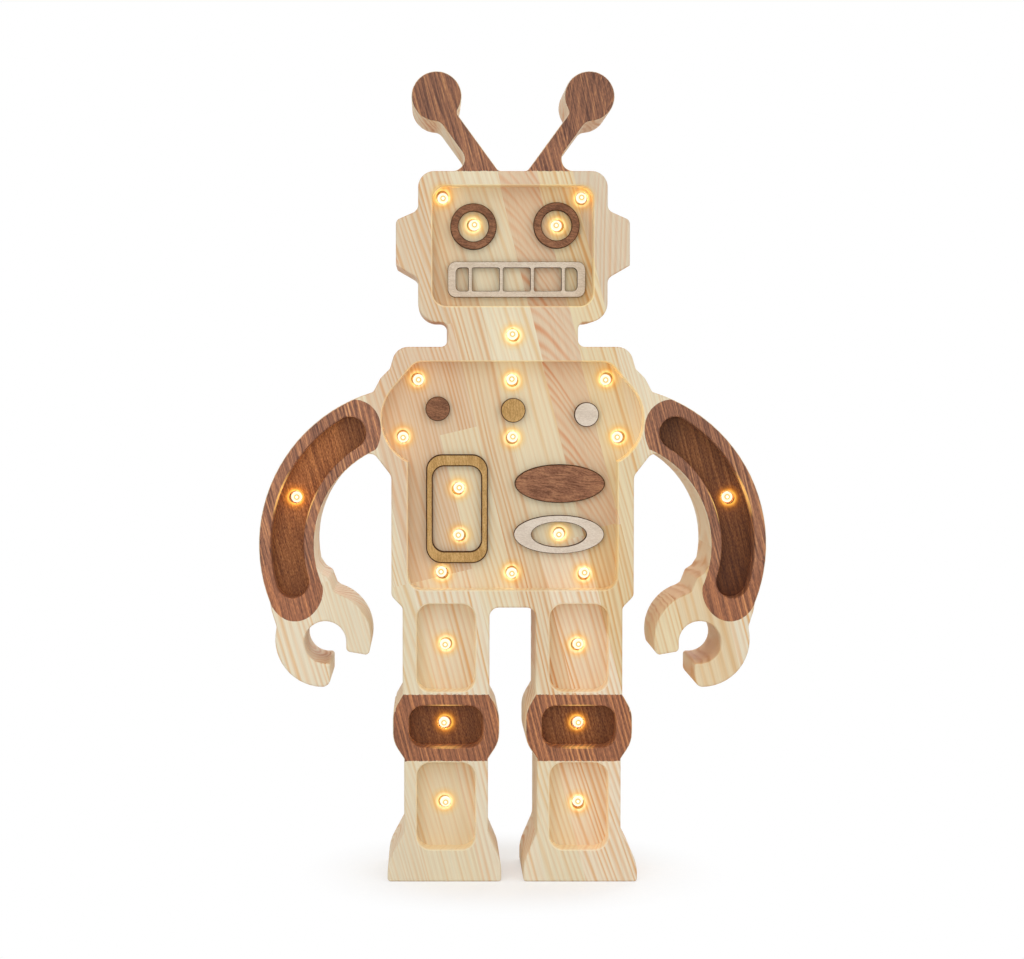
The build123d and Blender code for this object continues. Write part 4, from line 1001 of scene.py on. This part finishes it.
def flat_faces(piece: Piece, level: float, outward: float) -> None:
    """Selects the faces of a piece that lie across Y at one level.

    Args:
        piece: The piece, in edit mode.
        level: The faces' Y, in metres.
        outward: -1 for faces that look along -Y, 1 for those that look along +Y.
    """
    bpy.ops.mesh.select_mode(type="FACE")
    bpy.ops.mesh.select_all(action="DESELECT")
    mesh = bmesh.from_edit_mesh(piece.data)
    for face in mesh.faces:
        near = abs(face.calc_center_median().y - level) < 0.01 * MM
        face.select_set(near and face.normal.y * outward > 0.999)
    bmesh.update_edit_mesh(piece.data)


def eased(piece: Piece, level: float, outward: float, radius: float, steps: int,
          spared: tuple[Point, ...] = ()) -> None:
    """Rounds the edge between a flat face across Y and the walls behind it.

    Args:
        piece: A closed mesh.
        level: The face's Y, in metres.
        outward: -1 for a face that looks along -Y, 1 for one that looks along +Y.
        radius: The rounding, in metres.
        steps: How many facets the rounding has.
        spared: Circles as (x, z, radius) whose edges stay sharp.
    """
    only(piece)
    bpy.ops.object.mode_set(mode="EDIT")
    flat_faces(piece, level, outward)
    bpy.ops.mesh.dissolve_limited(angle_limit=0.002, use_dissolve_boundaries=False)
    flat_faces(piece, level, outward)
    for step in range(steps):
        turn, after = (math.pi / 2 * k / steps for k in (step, step + 1))
        mesh = bmesh.from_edit_mesh(piece.data)
        mark = mesh.verts.layers.int.get(RIM) or mesh.verts.layers.int.new(RIM)
        for vert in mesh.verts:
            chosen = [face.select for face in vert.link_faces]
            vert[mark] = int(any(chosen) and not all(chosen))
        bmesh.update_edit_mesh(piece.data)
        bpy.ops.mesh.inset(thickness=radius * (math.cos(turn) - math.cos(after)), depth=0.0,
                           use_even_offset=True, use_boundary=True)
        mesh = bmesh.from_edit_mesh(piece.data)
        mark = mesh.verts.layers.int[RIM]
        for vert in mesh.verts:
            if not vert[mark] or any(face.select for face in vert.link_faces):
                continue
            if all(math.hypot(vert.co.x - x, vert.co.z - z) > r for x, z, r in spared):
                vert.co.y -= outward * radius * (1 - math.sin(turn))
        bmesh.update_edit_mesh(piece.data)
    bpy.ops.object.mode_set(mode="OBJECT")
    piece.data.attributes.remove(piece.data.attributes[RIM])


# ---------------------------------------------------------------- the lamp's parts

@dataclass
class Body:
    """The routed pine silhouette."""

    rounding: float = 0.9       # mm
    steps: int = 5              # facets of the rounding
    neck_light: Point = (0.0, 0.25725, 0.0045)  # x, z and radius in metres; its rim stays sharp

    def build(self, nodes: Nodes) -> Piece:
        """Copies the solid's mesh and rounds its outer edges.

        Args:
            nodes: The CAD nodes.

        Returns:
            The piece.
        """
        piece = copied(nodes["pine_body"], "pine_shell")
        eased(piece, FRONT_Y * MM, -1, self.rounding * MM, self.steps, (self.neck_light,))
        eased(piece, BACK_Y * MM, 1, self.rounding * MM, self.steps)
        return piece

    def mark_walls(self, piece: Piece) -> None:
        """Marks the walls of the trays and the rounding above them, which the finish reads.

        Args:
            piece: The body.
        """
        mesh = bmesh.new()
        mesh.from_mesh(piece.data)
        mark = mesh.faces.layers.float.new(WALLS)
        found = {face for face in mesh.faces
                 if abs(max(vert.co.y for vert in face.verts) - FLOOR_Y * MM) < 0.1 * MM
                 and abs(face.normal.y) < 0.4}
        while found:
            for face in found:
                face[mark] = 1.0
            found = {near for face in found for edge in face.edges for near in edge.link_faces
                     if not near[mark] and near.normal.y > -0.97
                     and near.calc_center_median().y < (FRONT_Y + self.rounding) * MM}
        mesh.to_mesh(piece.data)
        mesh.free()

    def dress(self, piece: Piece, holes: tuple[Span, ...]) -> None:
        """Gives the body its wood, with painted shadow and glow at the lights' holes.

        Args:
            piece: The body.
            holes: The middles of the painted shadows on the holes' rims, in millimetres.
        """
        self.mark_walls(piece)
        piece.data.materials.append(Pine(holes=holes).build())
        polished(piece)
        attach(piece, LAMP)
        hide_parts("pine_body")


class Stain(Enum):
    """The colours of the plywood trims: the slot of each, and its finish."""

    # Middle brown with fine level streaks.
    WALNUT = ("trim_walnut", TrimFace(
        "plywood, walnut stain", "#633c26", "#8b5c42", "#ad7a56", turn_deg=81.0, speckle=0.45))
    # Mustard, with upright specks.
    OCHRE = ("trim_ochre", TrimFace(
        "plywood, ochre stain", "#a27c45", "#bd9459", "#cfa86d", turn_deg=4.0, speckle=0.6))
    # Chalky, the veneer hardly showing.
    WHITE = ("trim_white", TrimFace(
        "plywood, white wash", "#cfbfad", "#dacbb9", "#e3d6c6", turn_deg=86.0, speckle=0.7))
    # The same where more of the veneer's warmth shows through.
    THIN_WHITE = ("trim_white", TrimFace(
        "plywood, thin white wash", "#c6b49d", "#d3c2ad", "#dccebb", turn_deg=86.0, speckle=0.7))
    # Redder and deeper than one coat.
    DARK_WALNUT = ("trim_walnut", TrimFace(
        "plywood, second coat of walnut stain", "#5a3823", "#805439", "#9d6d4c",
        turn_deg=78.0, speckle=0.55))

    @property
    def slot(self) -> str:
        """The record's material slot."""
        return self.value[0]

    @property
    def face(self) -> TrimFace:
        """The finish of a trim's face."""
        return self.value[1]


# Each trim's stain, and the width in mm of the dark line round its face: scorch and painted shade.
TRIMS = {
    "mouth_grille": (Stain.THIN_WHITE, 0.16),
    "oval_ring": (Stain.WHITE, 0.24),
    "chest_button_right": (Stain.WHITE, 0.36),
    "chest_button_middle": (Stain.OCHRE, 0.36),
    "panel_frame": (Stain.OCHRE, 0.56),
    "oval_panel": (Stain.WALNUT, 0.44),
    "eye_ring_left": (Stain.DARK_WALNUT, 0.36),
    "eye_ring_right": (Stain.DARK_WALNUT, 0.36),
    "chest_button_left": (Stain.DARK_WALNUT, 0.34),
}


@dataclass
class Trims:
    """Laser-cut plywood pieces on the tray floors, each ringed by scorch and painted shade of its
    own width.
    """

    steps: int = 3              # facets of the dark line of scorch and painted shade

    def build(self, nodes: Nodes) -> list[Piece]:
        """Copies each trim and marks the dark line of scorch and painted shade round its face.

        Args:
            nodes: The CAD nodes.

        Returns:
            The pieces.
        """
        pieces = []
        edge = CharredEdge().build()
        faces = {stain: stain.face.build() for stain in Stain}
        for name, (stain, scorch_and_shade) in TRIMS.items():
            piece = copied(nodes[name], name + "_ply")
            piece.data.materials.append(faces[stain])
            piece.data.materials.append(edge)
            eased(piece, TRIM_Y * MM, -1, scorch_and_shade * MM, self.steps)
            for face in piece.data.polygons:
                face.material_index = int(abs(face.normal.y) < 0.99)
            polished(piece)
            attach(piece, LAMP)
            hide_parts(name)
            pieces.append(piece)
        return pieces


@dataclass
class Lights:
    """The 5 mm lamps: one dome with flange and leads, copied to every hole."""

    radius: float = 2.5         # mm, as all lengths here
    length: float = 7.6         # from the tip to the flange
    flange_radius: float = 2.9
    flange: float = 1.0         # thickness
    segments: int = 32          # round a dome
    rings: int = 24             # along the whole sphere that it is cut from
    lead: float = 0.5           # thickness of the square wires
    lead_ease: float = 0.06     # and of their bevels
    pitch: float = 1.27         # from the middle to each wire
    power: float = 0.00062      # watts
    stained: float = 3.2        # how much stronger the glow is in the stained trays
    glow: str = "#ffe08e"
    bulb: float = 0.5           # radius that the glow shines from
    ahead: float = 0.8          # from the wood round a dome to the light in it
    askew: float = 0.25         # how far a dome's bright ring sits off its middle
    rim_shade_offset: float = 0.5        # how far the painted shadow on a hole's rim sits off the hole's middle

    def pattern(self) -> Piece:
        """Makes one lamp that stands along Y with its tip at the origin.

        Returns:
            The lamp, without leads.
        """
        bpy.ops.object.select_all(action="DESELECT")
        bpy.ops.mesh.primitive_uv_sphere_add(segments=self.segments, ring_count=self.rings,
                                             radius=self.radius * MM,
                                             location=(0, self.radius * MM, 0),
                                             rotation=(math.pi / 2, 0, 0))
        lamp = bpy.context.object
        bpy.ops.object.transform_apply(location=True, rotation=True, scale=True)
        bpy.ops.object.mode_set(mode="EDIT")
        bpy.ops.mesh.select_all(action="SELECT")
        bpy.ops.mesh.bisect(plane_co=(0, self.radius * MM, 0), plane_no=(0, 1, 0),
                            clear_outer=True)
        bpy.ops.mesh.extrude_edges_move(TRANSFORM_OT_translate={
            "value": (0, (self.length - self.radius) * MM, 0)})
        bpy.ops.mesh.extrude_edges_move(TRANSFORM_OT_translate={"value": (0, 0, 0)})
        grow = self.flange_radius / self.radius
        bpy.ops.transform.resize(value=(grow, 1, grow), center_override=(0, 0, 0))
        bpy.ops.mesh.extrude_edges_move(TRANSFORM_OT_translate={"value": (0, self.flange * MM, 0)})
        bpy.ops.mesh.edge_face_add()
        bpy.ops.object.mode_set(mode="OBJECT")
        return lamp

    def leads(self, length: float) -> Piece:
        """Makes the two square wires behind a flange, with eased corners.

        Args:
            length: Their length, in metres.

        Returns:
            Both wires as one object, whose far ends are at Y 0.
        """
        bpy.ops.object.select_all(action="DESELECT")
        made = []
        for side in (-1, 1):
            place = (side * self.pitch * MM, -length / 2, 0)
            bpy.ops.mesh.primitive_cube_add(size=1, location=place)
            wire = bpy.context.object
            wire.scale = (self.lead * MM, length, self.lead * MM)
            bpy.ops.object.transform_apply(location=True, rotation=True, scale=True)
            bevel = wire.modifiers.new("eased", "BEVEL")
            bevel.width, bevel.segments = self.lead_ease * MM, 1
            bpy.ops.object.modifier_apply(modifier=bevel.name)
            made.append(wire)
        bpy.ops.object.select_all(action="DESELECT")
        for wire in made:
            wire.select_set(True)
        bpy.context.view_layer.objects.active = made[0]
        bpy.ops.object.join()
        return made[0]

    def named(self, nodes: Nodes) -> list[str]:
        """The names of the lights' nodes in order."""
        return sorted(name for name in nodes if name.startswith("led_"))

    def build(self, nodes: Nodes) -> list[Piece]:
        """Copies the lamp to the place of every light and lights it.

        Args:
            nodes: The CAD nodes.

        Returns:
            The pieces.
        """
        epoxy = LitEpoxy().build()
        # Grey and bright, with the dull drift of tin.
        tinned = Moulded("tinned steel lead", "#8d8d8a", "#c4c4c0", grit_mm=0.3, roughness=0.3,
                         metallic=1.0, bump=0.05).build()
        pattern = self.pattern()
        pieces = []
        for count, name in enumerate(self.named(nodes)):
            low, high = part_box(name)
            middle = (Vector(low) + Vector(high)) / 2
            lamp = bpy.data.objects.new(name + "_lit", pattern.data.copy())
            bpy.context.collection.objects.link(lamp)
            flange_back = low[1] + (self.length + self.flange) * MM
            lamp.data.transform(Matrix.Translation((middle.x, low[1], middle.z)))
            lamp.data.materials.clear()
            lamp.data.materials.append(epoxy)
            wires = self.leads(high[1] - flange_back)
            wires.data.transform(Matrix.Translation((middle.x, high[1], middle.z)))
            wires.data.materials.append(tinned)
            self.shaded(lamp, middle, count)
            only(lamp)
            wires.select_set(True)
            bpy.ops.object.join()
            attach(lamp, LAMP)
            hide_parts(name)
            lamp.visible_shadow = False
            self.shine(name, middle)
            pieces.append(lamp)
        bpy.data.objects.remove(pattern)
        return pieces

    def shaded(self, lamp: Piece, middle: Vector, count: int) -> None:
        """Smooths a lamp and writes the distance from its bright middle into its UV map.

        Args:
            lamp: The dome and flange.
            middle: Their middle.
            count: Its number, from which its bright middle gets a direction of its own.
        """
        only(lamp)
        bpy.ops.object.shade_smooth_by_angle(angle=math.radians(40))
        right, up = self.turn(count)
        x = middle.x + self.askew * MM * right
        z = middle.z + self.askew * MM * up
        layer = lamp.data.uv_layers.active or lamp.data.uv_layers.new(name="UVMap")
        for loop in lamp.data.loops:
            co = lamp.data.vertices[loop.vertex_index].co
            layer.data[loop.index].uv = (math.hypot(co.x - x, co.z - z) / (self.radius * MM), 0.5)

    def turn(self, count: int) -> Span:
        """The cosine and sine of the direction in which a lamp sits askew."""
        return math.cos(count * GOLDEN_TURN), math.sin(count * GOLDEN_TURN)

    def mouths(self, nodes: Nodes) -> tuple[Span, ...]:
        """Finds the middles of the painted shadows on the holes' rims.

        Args:
            nodes: The CAD nodes.

        Returns:
            Their x and z, in millimetres.
        """
        found = []
        for count, name in enumerate(self.named(nodes)):
            low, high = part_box(name)
            x, z = ((low[axis] + high[axis]) / 2 / MM for axis in (0, 2))
            right, up = self.turn(count)
            found.append((x - self.rim_shade_offset * right, z - self.rim_shade_offset * up))
        return tuple(found)

    def shine(self, name: str, middle: Vector) -> None:
        """Puts a tiny warm light in a dome, just ahead of the wood, which it colours.

        Args:
            name: The lamp's node.
            middle: The lamp's middle.
        """
        data = bpy.data.lights.new(name + "_glow", "POINT")
        data.energy = self.power * (self.stained if "arm" in name or "knee" in name else 1.0)
        data.shadow_soft_size = self.bulb * MM
        data.color = linear(self.glow)[:3]
        lamp = bpy.data.objects.new(name + "_glow", data)
        wood = FRONT_Y if name == "led_neck" else FLOOR_Y
        lamp.location = (middle.x, (wood - self.ahead) * MM, middle.z)
        lamp.visible_camera = False
        bpy.context.collection.objects.link(lamp)


@dataclass
class RockerMarks:
    """The printed I and O on the rocker: a raised bar and a raised ring."""

    z: float = 226.0            # mm, as all sizes here; the rocker's middle
    off: float = 4.3            # from there to each mark
    bar: Span = (0.7, 2.8)      # width and height
    ring_radius: float = 1.2
    line: float = 0.65          # thickness of the ring's line
    proud: float = 0.08         # how far the print stands out
    soften: float = 0.8         # share of that which the bar's bevel takes
    drop_y: float = 50.0        # behind the lamp, from where a mark drops onto the paddle

    def laid(self, piece: Piece, rocker: Piece, z: float) -> None:
        """Moves a mark that lies across Z at the origin onto the rocker.

        Args:
            piece: The mark, with its upper side towards Y.
            rocker: What carries it.
            z: Its height, in millimetres.
        """
        _, spot, normal, _ = rocker.ray_cast((0, self.drop_y * MM, z * MM), (0, -1, 0))
        up = (Vector((0, 0, 1)) - normal * normal.z).normalized()
        turn = Matrix((up.cross(normal), up, normal)).transposed().to_4x4()
        piece.data.transform(Matrix.Translation(spot) @ turn)

    def build(self, nodes: Nodes) -> Piece:
        """Makes the bar above, on the end that is pressed for ON, and the ring below.

        Args:
            nodes: The CAD nodes.

        Returns:
            Both marks as one piece.
        """
        rocker = nodes["switch_rocker"]
        bpy.context.view_layer.update()
        bpy.ops.object.select_all(action="DESELECT")
        bpy.ops.mesh.primitive_cube_add(size=1)
        bar = bpy.context.object
        bar.scale = (self.bar[0] * MM, self.bar[1] * MM, self.proud * 2 * MM)
        bpy.ops.object.transform_apply(location=True, rotation=True, scale=True)
        bevel = bar.modifiers.new("soft print", "BEVEL")
        bevel.width, bevel.segments = self.proud * self.soften * MM, 2
        bpy.ops.object.modifier_apply(modifier=bevel.name)
        self.laid(bar, rocker, self.z + self.off)
        bpy.ops.object.select_all(action="DESELECT")
        bpy.ops.mesh.primitive_torus_add(major_segments=40, minor_segments=12,
                                         major_radius=self.ring_radius * MM,
                                         minor_radius=self.line / 2 * MM)
        ring = bpy.context.object
        ring.scale = (1.0, 1.0, self.proud * 2 / self.line)
        bpy.ops.object.transform_apply(location=True, rotation=True, scale=True)
        self.laid(ring, rocker, self.z - self.off)
        only(bar)
        ring.select_set(True)
        bpy.ops.object.join()
        bar.name = "rocker_marks"
        # Off-white and even, a little duller than the plastic under it.
        ink = Moulded("printed ink, white", "#d8d7d2", "#ebeae5", grit_mm=0.3, roughness=0.5)
        bar.data.materials.append(ink.build())
        polished(bar)
        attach(bar, ROCKER)
        return bar


@dataclass
class Fittings:
    """Back cover, screws, socket, board and wiring, which keep their CAD meshes."""

    recess: float = 0.08        # mm below the cover's face, where painted shade darkens a screw's drive

    def finishes(self) -> dict[str, Finish]:
        """What each carried-over node is made of.

        Returns:
            The finishes by node.
        """
        # Cool grey with a bright drift, and painted shade in the drives of the screws.
        zinc = Moulded("zinc-plated steel", "#8f8e8a", "#c9c8c2", grit_mm=0.5, roughness=0.34,
                       metallic=1.0, bump=0.06)
        sunk_zinc = Moulded("zinc-plated screw", "#8f8e8a", "#c9c8c2", grit_mm=0.5, roughness=0.34,
                            metallic=1.0, bump=0.06, sunk_y=COVER_Y - self.recess)
        # Warmer and glossier than zinc.
        nickel = Moulded("nickel-plated brass", "#a9a398", "#d6d0c4", grit_mm=0.6, roughness=0.25,
                         metallic=1.0, bump=0.04)
        # Spark-eroded grain round the switch, and the worn-in gloss of what a finger presses.
        housing = Moulded("moulded nylon, black", "#101010", "#1c1c1c", grit_mm=0.35,
                          roughness=0.5, bump=0.15)
        rocker = Moulded("moulded ABS, black", "#0e0e0e", "#191919", grit_mm=0.5,
                         roughness=0.3, bump=0.05)
        # Green lacquer with the weave of the glass just felt under it.
        board = Moulded("glass-epoxy board, green", "#123f22", "#1e5a33", grit_mm=0.8,
                        roughness=0.3, bump=0.05)
        # Matt, nearly black, as moulding compound is.
        parts = Moulded("moulded component bodies", "#15161a", "#26272c", grit_mm=0.4,
                        roughness=0.5)
        # Milky and dull.
        spacers = Moulded("nylon, white", "#cfccc0", "#e4e1d6", grit_mm=0.5, roughness=0.5,
                          bump=0.05)
        # Smooth and waxy, as soft PVC is.
        white = Moulded("PVC insulation, white", "#cfcdc6", "#e6e4dd", grit_mm=0.8, roughness=0.4,
                        bump=0.05)
        red = Moulded("PVC insulation, red", "#7d130f", "#a81e17", grit_mm=0.8, roughness=0.35,
                      bump=0.05)
        return {"back_cover": BirchPly(), "cover_screws": sunk_zinc, "board_screws": zinc,
                "power_inlet": InletBody(), "inlet_nut": nickel, "switch_housing": housing,
                "switch_rocker": rocker, "driver_board": board, "board_parts": parts,
                "board_spacers": spacers, "wire_harness": white, "supply_leads": red}

    def dress(self, nodes: Nodes) -> None:
        """Gives each carried-over node its finish.

        Args:
            nodes: The CAD nodes.
        """
        for name, finish in self.finishes().items():
            node = nodes[name]
            node.data.materials.clear()
            node.data.materials.append(finish.build())


# ---------------------------------------------------------------- room, light and camera

@dataclass(frozen=True)
class Softbox:
    """A square lamp that looks at the middle of the object."""

    name: str
    place: Point                # metres
    size: float                 # metres
    power: float                # watts
    aim: Point = (0.0, 0.0, 0.19)

    def build(self) -> None:
        """Adds the lamp."""
        data = bpy.data.lights.new(self.name, "AREA")
        data.shape, data.size, data.energy = "SQUARE", self.size, self.power
        lamp = bpy.data.objects.new(self.name, data)
        lamp.location = self.place
        look = Vector(self.aim) - Vector(self.place)
        lamp.rotation_euler = look.to_track_quat("-Z", "Y").to_euler()
        bpy.context.collection.objects.link(lamp)


SOFTBOXES = (
    Softbox("key softbox", (-0.5, -1.1, 1.25), 0.9, 3.9),
    Softbox("fill softbox", (1.0, -1.0, 0.6), 0.9, 3.1),
    Softbox("low softbox", (-0.35, -1.2, 0.12), 0.8, 3.7),
    Softbox("back softbox", (0.45, 1.2, 0.85), 0.9, 4.0),
)


@dataclass
class Studio:
    """A white floor, soft light and the camera; lengths are in metres."""

    sky: float = 0.62           # strength of the light from all round
    floor_size: float = 8.0
    floor_z: float = -0.00002   # a hair below the soles
    paper: str = "#e6e6e6"
    shadow: str = "#cecece"     # the paper where the feet shade it
    shadow_light: float = 0.42  # light of its own that keeps the shadow soft
    shade_from: float = 0.035   # where the shadow starts to fade
    shade_to: float = 0.092     # and where it is gone
    shade_wide: float = 0.85    # how much slower it fades sideways
    lens: float = 75.0          # mm
    shift: Span = (0.0804, -0.05)
    camera_place: Point = (-0.0389, -1.0223, 0.2378)
    camera_drop_deg: float = 1.40   # how far it looks down

    def floor(self) -> None:
        """Lays a white floor that shows only the soft shadow under the feet."""
        bpy.ops.object.select_all(action="DESELECT")
        bpy.ops.mesh.primitive_plane_add(size=self.floor_size, location=(0, 0, self.floor_z))
        floor = bpy.context.object
        floor.name = "studio_floor"
        material = bpy.data.materials.new("white paper floor")
        graph = Graph(material)
        seen = graph.put("LightPath", give="Is Camera Ray")
        flat = graph.put("VectorMath MULTIPLY", graph.put("TexCoord", give="Object"),
                         (self.shade_wide, 1.0, 1.0))
        away = graph.put("VectorMath LENGTH", flat)
        away = graph.put("MapRange", away, self.shade_from, self.shade_to,
                         interpolation_type="SMOOTHSTEP")
        shaded = graph.put("AddShader", graph.put("BsdfDiffuse", self.shadow),
                           graph.put("Emission", "#ffffff", self.shadow_light))
        shaded = graph.put("MixShader", away, shaded, graph.put("Emission", "#ffffff", 1.0))
        paper = graph.put("BsdfDiffuse", self.paper)
        graph.put("OutputMaterial", graph.put("MixShader", seen, paper, shaded))
        floor.data.materials.append(material)

    def sky_light(self) -> None:
        """Adds even light from all round; a straight look at it is white."""
        world = bpy.data.worlds.new("studio")
        bpy.context.scene.world = world
        graph = Graph(world)
        path = graph.put("LightPath").node.outputs
        seen = graph.put("Math MAXIMUM", path["Is Camera Ray"], path["Is Glossy Ray"])
        seen = graph.put("Math MAXIMUM", seen, path["Is Transmission Ray"])
        strength = graph.put("MapRange", seen, 0.0, 1.0, self.sky, 1.0)
        graph.put("OutputWorld", graph.put("Background", "#ffffff", strength))

    def camera(self) -> None:
        """Sets the camera a little left of the middle and above, nearly level."""
        data = bpy.data.cameras.new("camera")
        data.lens, data.sensor_width = self.lens, 36.0
        data.shift_x, data.shift_y = self.shift
        camera = bpy.data.objects.new("camera", data)
        camera.location = self.camera_place
        camera.rotation_euler = (math.radians(90 - self.camera_drop_deg), 0, 0)
        bpy.context.collection.objects.link(camera)
        bpy.context.scene.camera = camera

    def build(self) -> None:
        """Sets up the whole studio."""
        self.floor()
        self.sky_light()
        for softbox in SOFTBOXES:
            softbox.build()
        self.camera()
        bpy.context.scene.view_settings.view_transform = "Standard"


def report(pieces: list[Piece]) -> None:
    """Logs the name and the number of faces of each piece.

    Args:
        pieces: The pieces.
    """
    for piece in pieces:
        LOG.info("%s: %d faces", piece.name, len(piece.data.polygons))


def main() -> None:
    """Builds the studio and dresses the lamp, piece by piece."""
    logging.basicConfig(level=logging.INFO, format="%(name)s: %(message)s")
    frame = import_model()
    nodes = frame["nodes"]
    Studio().build()
    LOG.info("studio set up")
    body = Body()
    shell = body.build(nodes)
    body.dress(shell, Lights().mouths(nodes))
    report([shell])
    report(Trims().build(nodes))
    report(Lights().build(nodes))
    report([RockerMarks().build(nodes)])
    Fittings().dress(nodes)
    LOG.info("fittings dressed")


if __name__ == "__main__":
    main()
